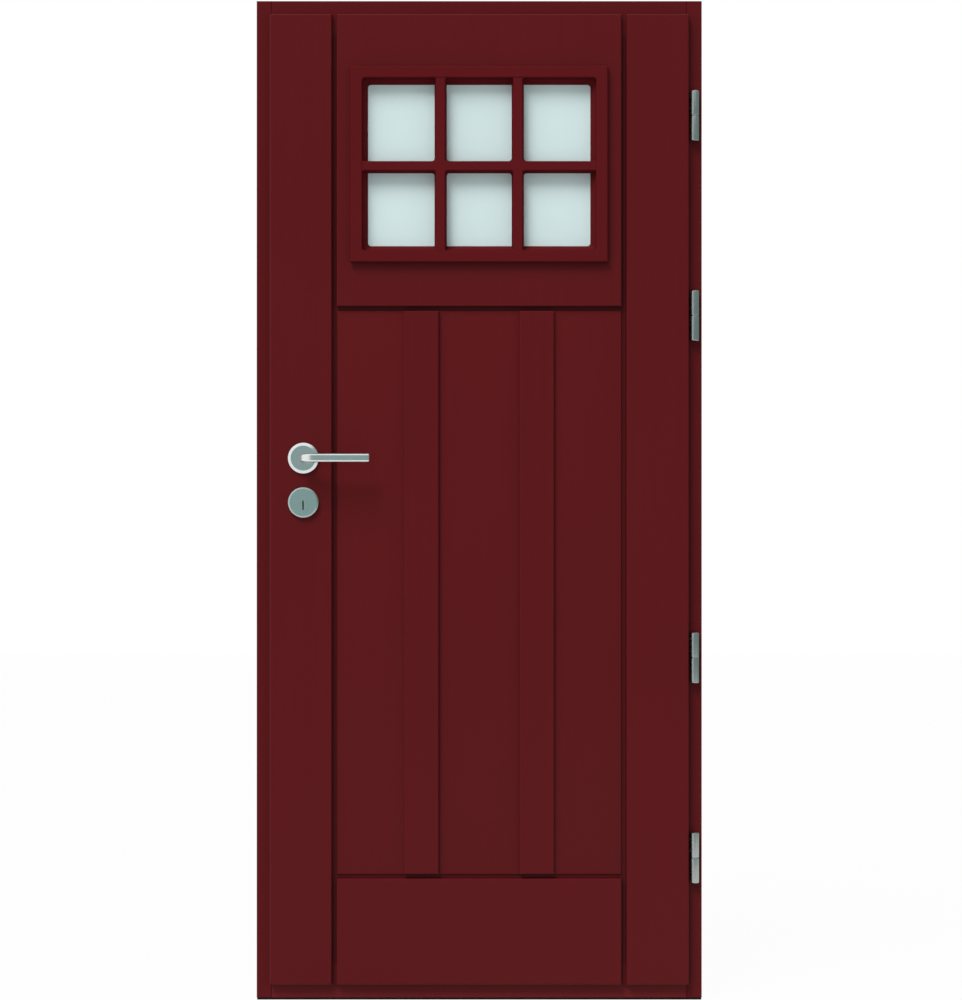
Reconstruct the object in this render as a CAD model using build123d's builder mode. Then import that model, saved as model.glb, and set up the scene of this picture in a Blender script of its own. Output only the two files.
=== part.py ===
from build123d import *
import math
import os

# Axes: the outside looks towards -Y, the hinges stand on the +X side, the sill strip rests on Z = 0

# Frame
frame_width = 948
frame_height = 2123
frame_depth = 115
jamb_face = 32
rail_face = 34
stop_rise = 14
arris_radius = 2
sill_seal_thickness = 4
sill_seal_inset = 1

# Frame gasket and the kerf that holds it
gasket_inset = 9
gasket_width = 9
kerf_width = 3
kerf_depth = 6
kerf_clearance = 0.2
soft_clearance = 0.3

# Corner screws and wall fixings of the frame
corner_screw_radius = 3
corner_screw_head_radius = 6
corner_screw_length = 80
corner_screw_spread = 60
fixing_radius = 5.25
fixing_head_radius = 9
fixing_head_depth = 12
fixing_margin = 250
fixing_middle_spread = 650

# Leaf, which closes against the frame with a lip all round
leaf_thickness = 64
lip_thickness = 18
lip_overlap = 3
lip_gap = 2
edge_gap = 4
seal_gap = 7
leaf_edge_radius = 3.5
face_edge_radius = 2.5

# Boards of the leaf
stile_width = 137.5
window_board_height = 620.5
bottom_board_height = 225
groove_width = 11
groove_depth = 12
slot_width = 20
slot_depth = 14
tongue_clearance = 0.2
panel_recess = 9
batten_width = 73
batten_spacing = 245
batten_gap = 10

# Window casing
casing_side_margin = 29.5
casing_top_margin = 113
casing_bottom_margin = 92.5
casing_proud = 14
casing_band = 24.5
casing_edge_radius = 3
casing_wall = 13
casing_ledge = 2.5
casing_bevel = 9
opening_radius = 7
flange_width = 20.5
cutout_radius = 6
skirt_clearance = 0.5

# Glazing
pane_count = 3
pane_thickness = 4
pane_gap = 12
glass_edge_gap = 4
tape_thickness = 1
tape_width = 8
tape_inset = 1.5
spacer_width = 8
spacer_inset = 3
setting_block_length = 80
setting_block_inset = 48
lite_columns = 3
bar_front_width = 19
bar_base_width = 26
bar_setback = 1
bar_chamfer = 1
bar_tenon = 2
cross_bar_drop = 3.5
lite_radius = 6

# Screws in the casing, the forend and the strike plate
small_screw_radius = 2.25
small_screw_head_radius = 4.5
casing_screw_length = 38
lock_screw_length = 24
screw_clearance = 0.2

# Hinges
barrel_radius = 9
barrel_gap = 2
knuckle_length = 53
knuckle_end_radius = 2
washer_thickness = 1
washer_radius = 8.5
washer_clearance = 0.1
pin_radius = 4.5
pin_reach = 40
pin_end_gap = 1
pin_seat_clearance = 0.02
pin_running_clearance = 0.05
stud_radius = 4
stud_clearance = 0.1
stud_shares = (0.27, 0.75)
leaf_stud_depth = 45
frame_stud_depth = 40
hinge_low = 300
hinge_high = 246
hinge_pair_spacing = 425

# Lock case, forend and strike plate
backset = 65
handle_height = 1153
lock_above = 60
lock_below = 144
lock_depth = 95
lock_thickness = 20
lock_wall = 2.5
mortise_clearance = 0.5
forend_thickness = 3
forend_width = 24
forend_overhang = 15.5
forend_screw_inset = 8
strike_margin = 32
bolt_thickness = 12
window_clearance = 0.3
strike_clearance = 3
running_clearance = 0.1

# Latch bolt and the follower that draws it in
latch_reach = 11.5
latch_travel = 12
latch_nose = 2.5
latch_low = 8
latch_high = 38
latch_pocket_gap = 4
latch_head_rear = 22
lug_clearance = 0.4
lug_thickness = 6
lug_low = 15
tail_low = 25.5
journal_radius = 9
hub_radius = 12
hub_end_gap = 0.3
follower_arm_reach = 23
follower_arm_width = 8
lever_turn_angle = 45
spindle_width = 8
square_clearance = 0.05

# Dead bolt and the cam that throws it
bolt_low = 8.5
bolt_high = 38.5
bolt_throw = 20
bolt_pocket_gap = 5
bolt_edge_radius = 1
notch_centre = 10
notch_width = 12.8
notch_high = 17.5
bolt_tail = 4
cam_radius = 7
cam_arm_reach = 16
cam_arm_width = 6
cam_arm_thickness = 8
cam_rest_angle = 45
tail_width = 5

# Lever handles
lever_height = 18.5
lever_thickness = 12
lever_corner_radius = 5
lever_end_radius = 2.5
lever_bend_radius = 26
lever_standoff = 50
lever_reach = 142
collar_radius = 9.5
collar_proud = 3
collar_clearance = 0.3
spindle_grip = 20
spindle_end_gap = 1
spindle_hole_radius = 12
rosette_radius = 32.5
rosette_thickness = 9
rosette_rim = 6
rosette_rim_drop = 4

# Lock cylinder and thumb turn
cover_drop = 94
cover_radius = 32
cover_thickness = 10
cover_rim = 3
cover_rim_drop = 2.5
plug_drop = 6
plug_radius = 12
plug_proud = 0.6
plug_rear_gap = 0.5
barrel_wall = 4
barrel_clearance = 0.3
key_slot_width = 3
key_slot_height = 19.5
key_slot_depth = 25
turn_shaft_radius = 6.5
turn_shaft_clearance = 1
turn_gap = 0.5
turn_length = 42
turn_width = 13
turn_height = 18
turn_edge_radius = 2.5

# One overrun serves all cuts
overrun = 5

# Places of the frame
half = frame_width / 2
frame_front = -frame_depth / 2
frame_back = frame_depth / 2
frame_bottom = sill_seal_thickness
frame_top = frame_bottom + frame_height
frame_middle = (frame_bottom + frame_top) / 2
rebate_half = half - jamb_face
rebate_bottom = frame_bottom + rail_face
rebate_top = frame_top - rail_face
stop_half = rebate_half - stop_rise
stop_bottom = rebate_bottom + stop_rise
stop_top = rebate_top - stop_rise

# Places of the leaf
lip_back = frame_front - lip_gap
leaf_front = lip_back - lip_thickness
leaf_back = leaf_front + leaf_thickness
leaf_middle = (leaf_front + leaf_back) / 2
stop_front = leaf_back + seal_gap
body_half = rebate_half - edge_gap
body_bottom = rebate_bottom + edge_gap
body_top = rebate_top - edge_gap
lip_half = rebate_half + lip_overlap
lip_bottom = rebate_bottom - lip_overlap
lip_top = rebate_top + lip_overlap
lip_height = lip_top - lip_bottom
joint_half = lip_half - stile_width
board_half = joint_half - groove_width / 2
panel_top = lip_top - window_board_height
panel_bottom = lip_bottom + bottom_board_height
panel_height = panel_top - panel_bottom
panel_middle = (panel_top + panel_bottom) / 2
tongue_thickness = slot_width - 2 * tongue_clearance
tongue_length = slot_depth - tongue_clearance

# Places of the window
casing_width = 2 * (board_half - casing_side_margin)
casing_height = window_board_height - casing_top_margin - casing_bottom_margin
window_middle = lip_top - casing_top_margin - casing_height / 2
cutout_width = casing_width - 2 * flange_width
cutout_height = casing_height - 2 * flange_width
opening_width = casing_width - 2 * casing_band
opening_height = casing_height - 2 * casing_band
sight_width = opening_width - 2 * (casing_ledge + casing_bevel)
sight_height = opening_height - 2 * (casing_ledge + casing_bevel)
glass_width = cutout_width - 2 * glass_edge_gap
glass_height = cutout_height - 2 * glass_edge_gap
glass_depth = pane_count * pane_thickness + (pane_count - 1) * pane_gap
glass_front = leaf_middle - glass_depth / 2
glass_back = leaf_middle + glass_depth / 2
casing_front = leaf_front - casing_proud
casing_floor = casing_front + casing_wall
skirt_back = glass_front - tape_thickness
inner_casing_face = 2 * leaf_middle - casing_front
casing_screw_x = (casing_width - flange_width) / 2
casing_screw_z = (casing_height - flange_width) / 2
casing_screw_places = [
    (x, window_middle + z)
    for x in (-casing_screw_x, 0, casing_screw_x)
    for z in (-casing_screw_z, 0, casing_screw_z)
    if x or z
]

# Places of the hinges
hinge_x = (half + rebate_half) / 2
hinge_y = frame_front - barrel_gap - barrel_radius
hinge_heights = (
    frame_bottom + hinge_low,
    frame_bottom + hinge_low + hinge_pair_spacing,
    frame_top - hinge_high - hinge_pair_spacing,
    frame_top - hinge_high,
)

# Places of the lock and its furniture
lock_y = (lip_back + leaf_back) / 2
case_front = lock_y - lock_thickness / 2
case_back = lock_y + lock_thickness / 2
spindle_x = backset - body_half
forend_back = forend_thickness - body_half
case_end = forend_back + lock_depth
case_bottom = handle_height - lock_below
case_top = handle_height + lock_above
forend_bottom = case_bottom - forend_overhang
forend_top = case_top + forend_overhang
forend_screw_heights = (forend_bottom + forend_screw_inset, forend_top - forend_screw_inset)
bolt_front = lock_y - bolt_thickness / 2
bolt_back = lock_y + bolt_thickness / 2
cover_height = handle_height - cover_drop
plug_height = cover_height - plug_drop
latch_bottom = handle_height + latch_low
latch_top = handle_height + latch_high
latch_tip = -body_half - latch_reach
bolt_bottom = plug_height + bolt_low
bolt_top = plug_height + bolt_high
strike_bottom = bolt_bottom - strike_margin
strike_top = latch_top + strike_margin
strike_back = -rebate_half - forend_thickness
strike_screw_heights = (
    (strike_bottom + bolt_bottom) / 2,
    (bolt_top + latch_bottom) / 2,
    (strike_top + latch_top) / 2,
)
rosette_front = leaf_front - rosette_thickness
cover_front = leaf_front - cover_thickness
turn_face = leaf_back + cover_thickness

ON_BASE = (Align.CENTER, Align.CENTER, Align.MIN)


def facing(y):
    """Plane across the doorway at depth y, seen from the outside."""
    return Plane.XZ.offset(-y)


def block(x, y, z, mode=Mode.ADD):
    """Box between two bounds along each axis, in the part being built."""
    with Locations(((x[0] + x[1]) / 2, (y[0] + y[1]) / 2, (z[0] + z[1]) / 2)):
        Box(x[1] - x[0], y[1] - y[0], z[1] - z[0], mode=mode)


def rod(radius, start, end, mode=Mode.ADD):
    """Round bar from one point to another, in the part being built."""
    run = Vector(end) - Vector(start)
    with Locations(Plane(origin=start, z_dir=run)):
        Cylinder(radius, run.length, align=ON_BASE, mode=mode)


def screw(seat, axis, radius, head_radius, length, mode=Mode.ADD):
    """Countersunk screw with its head level at the seat, driven along the axis."""
    with Locations(Plane(origin=seat, z_dir=axis)):
        Cone(head_radius, radius, head_radius - radius, align=ON_BASE, mode=mode)
        Cylinder(radius, length, align=ON_BASE, mode=mode)


def small_screw(seat, axis, length):
    """Small screw of the casing, the forend or the strike plate."""
    screw(seat, axis, small_screw_radius, small_screw_head_radius, length)


def small_screw_hole(seat, axis, length):
    """Cut the hole that a small screw sits in."""
    screw(
        seat,
        axis,
        small_screw_radius + screw_clearance,
        small_screw_head_radius + screw_clearance,
        length + screw_clearance,
        Mode.SUBTRACT,
    )


def ring(width, height, band):
    """Rectangular band inside the given outer size, in the sketch being drawn."""
    Rectangle(width, height)
    Rectangle(width - 2 * band, height - 2 * band, mode=Mode.SUBTRACT)


def save(piece, name):
    """Label a finished piece and write it."""
    piece.part.label = name
    export_step(piece.part, f"parts/{name}.step")


os.makedirs("parts", exist_ok=True)

# Kerf round the stop, cut from all four frame members
gasket_loop_width = 2 * (rebate_half - gasket_inset)
gasket_loop_height = rebate_top - rebate_bottom - 2 * gasket_inset
with BuildPart() as kerf:
    with BuildSketch(facing(stop_front + kerf_depth)):
        with Locations((0, frame_middle)):
            ring(gasket_loop_width + kerf_width, gasket_loop_height + kerf_width, kerf_width)
    extrude(amount=kerf_depth)

# Places of the corner screws: each is a seat on a jamb's outer face on the hinge side
corner_screw_seats = [
    (half, y, z)
    for y in (-corner_screw_spread / 2, corner_screw_spread / 2)
    for z in (frame_bottom + rail_face / 2, frame_top - rail_face / 2)
]
fixing_heights = (
    frame_bottom + fixing_margin,
    frame_middle - fixing_middle_spread / 2,
    frame_middle + fixing_middle_spread / 2,
    frame_top - fixing_margin,
)
fixing_y = (stop_front + frame_back) / 2

# Plain jamb, hinge side, with its rebate, kerf, screw holes and wall fixings
with BuildPart() as jamb_blank:
    with BuildSketch(Plane.XY.offset(frame_bottom)):
        with BuildLine():
            FilletPolyline(
                (rebate_half, frame_front),
                (half, frame_front),
                (half, frame_back),
                (stop_half, frame_back),
                (stop_half, stop_front),
                (rebate_half, stop_front),
                radius=(0, 0, 0, arris_radius, arris_radius, 0),
                close=True,
            )
        make_face()
    extrude(amount=frame_height)
    fillet(jamb_blank.faces().sort_by(Axis.Y)[0].edges(), arris_radius)
    add(kerf.part, mode=Mode.SUBTRACT)
    for seat in corner_screw_seats:
        screw(
            seat,
            (-1, 0, 0),
            corner_screw_radius + screw_clearance,
            corner_screw_head_radius + screw_clearance,
            corner_screw_length,
            Mode.SUBTRACT,
        )
    for z in fixing_heights:
        rod(
            fixing_radius,
            (stop_half - overrun, fixing_y, z),
            (half + overrun, fixing_y, z),
            Mode.SUBTRACT,
        )
        rod(
            fixing_head_radius,
            (stop_half - overrun, fixing_y, z),
            (stop_half + fixing_head_depth, fixing_y, z),
            Mode.SUBTRACT,
        )

# Hinge jamb, bored for the studs of the four frame knuckles
with BuildPart() as hinge_jamb:
    add(jamb_blank.part)
    for centre in hinge_heights:
        for share in stud_shares:
            z = centre - share * knuckle_length
            rod(
                stud_radius + stud_clearance,
                (hinge_x, hinge_y, z),
                (hinge_x, frame_front + frame_stud_depth + pin_end_gap, z),
                Mode.SUBTRACT,
            )
save(hinge_jamb, "hinge_jamb")

# Lock jamb, let in for the strike plate, with a pocket for each bolt
latch_pocket_end = latch_tip - latch_pocket_gap
bolt_pocket_end = -body_half - bolt_throw - bolt_pocket_gap
pocket_front = bolt_front - strike_clearance
pocket_back = bolt_back + strike_clearance
with BuildPart() as lock_jamb:
    mirror(jamb_blank.part, about=Plane.YZ)
    block(
        (strike_back, -rebate_half + overrun),
        (lock_y - forend_width / 2, lock_y + forend_width / 2),
        (strike_bottom, strike_top),
        Mode.SUBTRACT,
    )
    block(
        (latch_pocket_end, strike_back),
        (pocket_front, pocket_back),
        (latch_bottom - strike_clearance, latch_top + strike_clearance),
        Mode.SUBTRACT,
    )
    block(
        (bolt_pocket_end, strike_back),
        (pocket_front, pocket_back),
        (bolt_bottom - strike_clearance, bolt_top + strike_clearance),
        Mode.SUBTRACT,
    )
    for z in strike_screw_heights:
        small_screw_hole((-rebate_half, lock_y, z), (-1, 0, 0), lock_screw_length)
save(lock_jamb, "lock_jamb")

# Head rail between the jambs, notched round their stops
with BuildPart() as head_rail:
    with BuildSketch(Plane.YZ.offset(-rebate_half)):
        with BuildLine():
            FilletPolyline(
                (frame_front, rebate_top),
                (frame_front, frame_top),
                (frame_back, frame_top),
                (frame_back, stop_top),
                (stop_front, stop_top),
                (stop_front, rebate_top),
                radius=(0, 0, 0, arris_radius, arris_radius, 0),
                close=True,
            )
        make_face()
    extrude(amount=2 * rebate_half)
    fillet(head_rail.faces().sort_by(Axis.Y)[0].edges(), arris_radius)
    for side in ((-rebate_half, -stop_half), (stop_half, rebate_half)):
        block(side, (stop_front, frame_back), (stop_top, frame_top), Mode.SUBTRACT)
    add(kerf.part, mode=Mode.SUBTRACT)
    for x, y, z in corner_screw_seats:
        for side in (-1, 1):
            rod(
                corner_screw_radius + screw_clearance,
                (side * x, y, z),
                (side * (x - corner_screw_length - screw_clearance), y, z),
                Mode.SUBTRACT,
            )
save(head_rail, "head_rail")

# Threshold between the jambs, notched round their stops
with BuildPart() as threshold:
    with BuildSketch(Plane.YZ.offset(-rebate_half)):
        with BuildLine():
            FilletPolyline(
                (frame_front, frame_bottom),
                (frame_front, rebate_bottom),
                (stop_front, rebate_bottom),
                (stop_front, stop_bottom),
                (frame_back, stop_bottom),
                (frame_back, frame_bottom),
                radius=(0, 0, 0, arris_radius, arris_radius, 0),
                close=True,
            )
        make_face()
    extrude(amount=2 * rebate_half)
    fillet(threshold.faces().sort_by(Axis.Y)[0].edges(), arris_radius)
    for side in ((-rebate_half, -stop_half), (stop_half, rebate_half)):
        block(side, (stop_front, frame_back), (frame_bottom, stop_bottom), Mode.SUBTRACT)
    add(kerf.part, mode=Mode.SUBTRACT)
    for x, y, z in corner_screw_seats:
        for side in (-1, 1):
            rod(
                corner_screw_radius + screw_clearance,
                (side * x, y, z),
                (side * (x - corner_screw_length - screw_clearance), y, z),
                Mode.SUBTRACT,
            )
save(threshold, "threshold")

# Screws through the jambs into the head rail and the threshold
with BuildPart() as frame_screws:
    for x, y, z in corner_screw_seats:
        for side in (-1, 1):
            screw(
                (side * x, y, z),
                (-side, 0, 0),
                corner_screw_radius,
                corner_screw_head_radius,
                corner_screw_length,
            )
save(frame_screws, "frame_screws")

# Sealing strip under the frame
with BuildPart() as sill_seal:
    with BuildSketch():
        Rectangle(frame_width - 2 * sill_seal_inset, frame_depth - 2 * sill_seal_inset)
    extrude(amount=sill_seal_thickness)
save(sill_seal, "sill_seal")

# Gasket round the stop, with its tail in the kerf
with BuildPart() as frame_gasket:
    with BuildSketch(facing(stop_front)):
        with Locations((0, frame_middle)):
            ring(gasket_loop_width + gasket_width, gasket_loop_height + gasket_width, gasket_width)
    extrude(amount=seal_gap - soft_clearance)
    tail_band = kerf_width - 2 * kerf_clearance
    with BuildSketch(facing(stop_front + kerf_depth - kerf_clearance)):
        with Locations((0, frame_middle)):
            ring(gasket_loop_width + tail_band, gasket_loop_height + tail_band, tail_band)
    extrude(amount=kerf_depth - kerf_clearance)
save(frame_gasket, "frame_gasket")

# Strike plate let into the lock jamb, with a window for each bolt
with BuildPart() as strike_plate:
    block(
        (strike_back, -rebate_half),
        (lock_y - forend_width / 2, lock_y + forend_width / 2),
        (strike_bottom, strike_top),
    )
    for low, high in ((latch_bottom, latch_top), (bolt_bottom, bolt_top)):
        block(
            (strike_back, -rebate_half),
            (pocket_front, pocket_back),
            (low - strike_clearance, high + strike_clearance),
            Mode.SUBTRACT,
        )
    for z in strike_screw_heights:
        small_screw_hole((-rebate_half, lock_y, z), (-1, 0, 0), lock_screw_length)
save(strike_plate, "strike_plate")

with BuildPart() as strike_screws:
    for z in strike_screw_heights:
        small_screw((-rebate_half, lock_y, z), (-1, 0, 0), lock_screw_length)
save(strike_screws, "strike_screws")

# Whole leaf with its lip and rounded edges, from which the boards are taken
with BuildPart() as leaf_blank:
    with BuildSketch(facing(lip_back)):
        with Locations((0, (lip_bottom + lip_top) / 2)):
            Rectangle(2 * lip_half, lip_height)
    extrude(amount=lip_thickness)
    fillet(leaf_blank.faces().sort_by(Axis.Y)[0].edges(), leaf_edge_radius)
    with BuildSketch(facing(leaf_back)):
        with Locations((0, (body_bottom + body_top) / 2)):
            Rectangle(2 * body_half, body_top - body_bottom)
    extrude(amount=leaf_back - lip_back)
    fillet(leaf_blank.faces().sort_by(Axis.Y)[-1].edges(), face_edge_radius)

# Plain stile, hinge side: a slot for the tongues and half a shadow groove on each face
face_edge = joint_half + groove_width / 2
with BuildPart() as stile_blank:
    with BuildSketch(Plane.XY.offset(lip_bottom - overrun)):
        with BuildLine():
            Polyline(
                (face_edge, leaf_front),
                (lip_half + overrun, leaf_front),
                (lip_half + overrun, leaf_back),
                (face_edge, leaf_back),
                (face_edge, leaf_back - groove_depth),
                (joint_half, leaf_back - groove_depth),
                (joint_half, leaf_middle + slot_width / 2),
                (joint_half + slot_depth, leaf_middle + slot_width / 2),
                (joint_half + slot_depth, leaf_middle - slot_width / 2),
                (joint_half, leaf_middle - slot_width / 2),
                (joint_half, leaf_front + groove_depth),
                (face_edge, leaf_front + groove_depth),
                close=True,
            )
        make_face()
    extrude(amount=lip_height + 2 * overrun)
    for place in (0, -1):
        board_side = stile_blank.faces().sort_by(Axis.Y)[place]
        fillet(board_side.edges().filter_by(Axis.Z).sort_by(Axis.X)[0], face_edge_radius)
    add(leaf_blank.part, mode=Mode.INTERSECT)

# Hinge stile, bored for the studs of the four leaf knuckles
leaf_stud_end = lip_half - leaf_stud_depth
with BuildPart() as hinge_stile:
    add(stile_blank.part)
    for centre in hinge_heights:
        for share in stud_shares:
            z = centre + share * knuckle_length
            rod(
                stud_radius + stud_clearance,
                (hinge_x, hinge_y, z),
                (leaf_stud_end - pin_end_gap, hinge_y, z),
                Mode.SUBTRACT,
            )
save(hinge_stile, "hinge_stile")

# Lock stile, with the mortise, the forend's recess and the holes for spindle, cylinder and thumb turn
barrel_outer_radius = plug_radius + running_clearance + barrel_wall
with BuildPart() as lock_stile:
    mirror(stile_blank.part, about=Plane.YZ)
    block(
        (-body_half, forend_back),
        (lock_y - forend_width / 2, lock_y + forend_width / 2),
        (forend_bottom, forend_top),
        Mode.SUBTRACT,
    )
    block(
        (forend_back, case_end + mortise_clearance),
        (case_front - mortise_clearance, case_back + mortise_clearance),
        (case_bottom - mortise_clearance, case_top + mortise_clearance),
        Mode.SUBTRACT,
    )
    rod(
        spindle_hole_radius,
        (spindle_x, leaf_front - overrun, handle_height),
        (spindle_x, leaf_back + overrun, handle_height),
        Mode.SUBTRACT,
    )
    rod(
        barrel_outer_radius + barrel_clearance,
        (spindle_x, leaf_front - overrun, plug_height),
        (spindle_x, lock_y, plug_height),
        Mode.SUBTRACT,
    )
    rod(
        turn_shaft_radius + turn_shaft_clearance,
        (spindle_x, lock_y, plug_height),
        (spindle_x, leaf_back + overrun, plug_height),
        Mode.SUBTRACT,
    )
    for z in forend_screw_heights:
        small_screw_hole((-body_half, lock_y, z), (1, 0, 0), lock_screw_length)
save(lock_stile, "lock_stile")

# Cross-section shared by the window board and the bottom board, tongued into both stiles
board_corners = (
    (board_half, leaf_front),
    (board_half, leaf_front + groove_depth),
    (joint_half, leaf_front + groove_depth),
    (joint_half, leaf_middle - tongue_thickness / 2),
    (joint_half + tongue_length, leaf_middle - tongue_thickness / 2),
    (joint_half + tongue_length, leaf_middle + tongue_thickness / 2),
    (joint_half, leaf_middle + tongue_thickness / 2),
    (joint_half, leaf_back - groove_depth),
    (board_half, leaf_back - groove_depth),
    (board_half, leaf_back),
)
board_outline = board_corners + tuple((-x, y) for x, y in reversed(board_corners))
panel_slot_x = (-joint_half, joint_half)
panel_slot_y = (leaf_middle - slot_width / 2, leaf_middle + slot_width / 2)

# Window board, from the panel to the top of the leaf
with BuildPart() as window_board:
    with BuildSketch(Plane.XY.offset(panel_top)):
        with BuildLine():
            Polyline(*board_outline, close=True)
        make_face()
    extrude(amount=window_board_height)
    for place in (0, -1):
        fillet(window_board.faces().sort_by(Axis.Y)[place].edges(), face_edge_radius)
    add(leaf_blank.part, mode=Mode.INTERSECT)
    block(panel_slot_x, panel_slot_y, (panel_top, panel_top + slot_depth), Mode.SUBTRACT)
    with BuildSketch(facing(leaf_back)):
        with Locations((0, window_middle)):
            RectangleRounded(cutout_width, cutout_height, cutout_radius)
    extrude(amount=leaf_thickness, mode=Mode.SUBTRACT)
    for x, z in casing_screw_places:
        small_screw_hole((x, inner_casing_face, z), (0, -1, 0), casing_screw_length)
save(window_board, "window_board")

# Bottom board, from the foot of the leaf to the panel
with BuildPart() as bottom_board:
    with BuildSketch(Plane.XY.offset(lip_bottom)):
        with BuildLine():
            Polyline(*board_outline, close=True)
        make_face()
    extrude(amount=bottom_board_height)
    for place in (0, -1):
        fillet(bottom_board.faces().sort_by(Axis.Y)[place].edges(), face_edge_radius)
    add(leaf_blank.part, mode=Mode.INTERSECT)
    block(panel_slot_x, panel_slot_y, (panel_bottom - slot_depth, panel_bottom), Mode.SUBTRACT)
save(bottom_board, "bottom_board")

# Centre panel, recessed on both faces, tongued all round and grooved along the stiles
with BuildPart() as centre_panel:
    with BuildSketch(facing(leaf_back - panel_recess)):
        with Locations((0, panel_middle)):
            Rectangle(2 * board_half, panel_height)
    extrude(amount=leaf_thickness - 2 * panel_recess)
    with BuildSketch(facing(leaf_back - groove_depth)):
        with Locations((0, panel_middle)):
            Rectangle(2 * joint_half, panel_height)
    extrude(amount=leaf_thickness - 2 * groove_depth)
    with BuildSketch(facing(leaf_middle + tongue_thickness / 2)):
        with Locations((0, panel_middle)):
            Rectangle(2 * (joint_half + tongue_length), panel_height)
            Rectangle(2 * (joint_half - tongue_clearance), panel_height + 2 * tongue_length)
    extrude(amount=tongue_thickness)
save(centre_panel, "centre_panel")

# Flat battens on the panel, level with the stiles
for side, x in (("left", -batten_spacing / 2), ("right", batten_spacing / 2)):
    with BuildPart() as outer_batten:
        with BuildSketch(facing(leaf_front + panel_recess)):
            with Locations((x, panel_middle)):
                Rectangle(batten_width, panel_height - 2 * batten_gap)
        extrude(amount=panel_recess)
        fillet(outer_batten.faces().sort_by(Axis.Y)[0].edges(), face_edge_radius)
    save(outer_batten, f"outer_{side}_batten")
    with BuildPart() as inner_batten:
        mirror(outer_batten.part, about=facing(leaf_middle))
    save(inner_batten, f"inner_{side}_batten")

# Window casing: flange on the leaf, skirt in the cut-out, stepped and bevelled opening
with BuildPart() as outer_casing:
    with BuildSketch(facing(leaf_front)):
        with Locations((0, window_middle)):
            Rectangle(casing_width, casing_height)
    extrude(amount=casing_proud)
    fillet(outer_casing.faces().sort_by(Axis.Y)[0].edges(), casing_edge_radius)
    with BuildSketch(facing(skirt_back)):
        with Locations((0, window_middle)):
            RectangleRounded(
                cutout_width - 2 * skirt_clearance,
                cutout_height - 2 * skirt_clearance,
                cutout_radius,
            )
    extrude(amount=skirt_back - leaf_front)
    with BuildSketch(facing(casing_floor)):
        with Locations((0, window_middle)):
            RectangleRounded(opening_width, opening_height, opening_radius)
    extrude(amount=casing_wall, mode=Mode.SUBTRACT)
    fillet(outer_casing.faces().sort_by(Axis.Y)[0].inner_wires().edges(), face_edge_radius)
    with BuildSketch(facing(skirt_back)):
        with Locations((0, window_middle)):
            RectangleRounded(sight_width, sight_height, opening_radius)
    with BuildSketch(facing(casing_floor)):
        with Locations((0, window_middle)):
            RectangleRounded(
                sight_width + 2 * casing_bevel,
                sight_height + 2 * casing_bevel,
                opening_radius,
            )
    loft(mode=Mode.SUBTRACT)
save(outer_casing, "outer_casing")

# Inner casing, screwed through into the window board
with BuildPart() as inner_casing:
    mirror(outer_casing.part, about=facing(leaf_middle))
    for x, z in casing_screw_places:
        small_screw_hole((x, inner_casing_face, z), (0, -1, 0), casing_screw_length)
save(inner_casing, "inner_casing")

with BuildPart() as casing_screws:
    for x, z in casing_screw_places:
        small_screw((x, inner_casing_face, z), (0, -1, 0), casing_screw_length)
save(casing_screws, "casing_screws")

# Glazing bars: one grid with a rounded, tapering opening for each lite, scribed to the casing
bar_front = casing_front + bar_setback
bar_pitch = (sight_width + bar_front_width) / lite_columns
upright_lines = [bar_pitch * (place - lite_columns / 2) for place in range(1, lite_columns)]
column_lines = [-opening_width, *upright_lines, opening_width]
row_lines = [-opening_height, -cross_bar_drop, opening_height]
lite_reach_x = (opening_width + bar_tenon) / 2
lite_reach_z = (opening_height + bar_tenon) / 2
lite_sections = (
    (skirt_back, bar_base_width),
    (bar_front + bar_chamfer, bar_front_width),
    (bar_front, bar_front_width - 2 * bar_chamfer),
)


def lite(columns, rows, bar_width):
    """Outline of one lite between its bars or the casing, in the sketch being drawn."""
    left = max(columns[0] + bar_width / 2, -lite_reach_x)
    right = min(columns[1] - bar_width / 2, lite_reach_x)
    low = max(rows[0] + bar_width / 2, -lite_reach_z)
    high = min(rows[1] - bar_width / 2, lite_reach_z)
    with Locations(((left + right) / 2, window_middle + (low + high) / 2)):
        RectangleRounded(right - left, high - low, lite_radius)


with BuildPart() as outer_bars:
    with BuildSketch(facing(skirt_back)):
        with Locations((0, window_middle)):
            Rectangle(opening_width + 2 * bar_tenon, opening_height + 2 * bar_tenon)
    extrude(amount=skirt_back - bar_front)
    for columns in zip(column_lines, column_lines[1:]):
        for rows in zip(row_lines, row_lines[1:]):
            for y, bar_width in lite_sections:
                with BuildSketch(facing(y)):
                    lite(columns, rows, bar_width)
            loft(ruled=True, mode=Mode.SUBTRACT)
    with BuildSketch(facing(skirt_back + overrun)):
        with Locations((0, window_middle)):
            RectangleRounded(opening_width, opening_height, opening_radius)
    extrude(amount=skirt_back - bar_front + 2 * overrun, mode=Mode.INTERSECT)
    add(outer_casing.part, mode=Mode.SUBTRACT)
save(outer_bars, "outer_bars")

with BuildPart() as inner_bars:
    mirror(outer_bars.part, about=facing(leaf_middle))
save(inner_bars, "inner_bars")

# Three panes with a spacer in each gap
pane_fronts = [glass_front + place * (pane_thickness + pane_gap) for place in range(pane_count)]
for name, front in zip(("outer_pane", "middle_pane", "inner_pane"), pane_fronts):
    with BuildPart() as pane:
        with BuildSketch(facing(front + pane_thickness)):
            with Locations((0, window_middle)):
                Rectangle(glass_width, glass_height)
        extrude(amount=pane_thickness)
    save(pane, name)
for name, front in zip(("outer_spacer", "inner_spacer"), pane_fronts):
    with BuildPart() as spacer:
        with BuildSketch(facing(front + pane_thickness + pane_gap)):
            with Locations((0, window_middle)):
                ring(glass_width - 2 * spacer_inset, glass_height - 2 * spacer_inset, spacer_width)
        extrude(amount=pane_gap)
    save(spacer, name)

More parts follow.
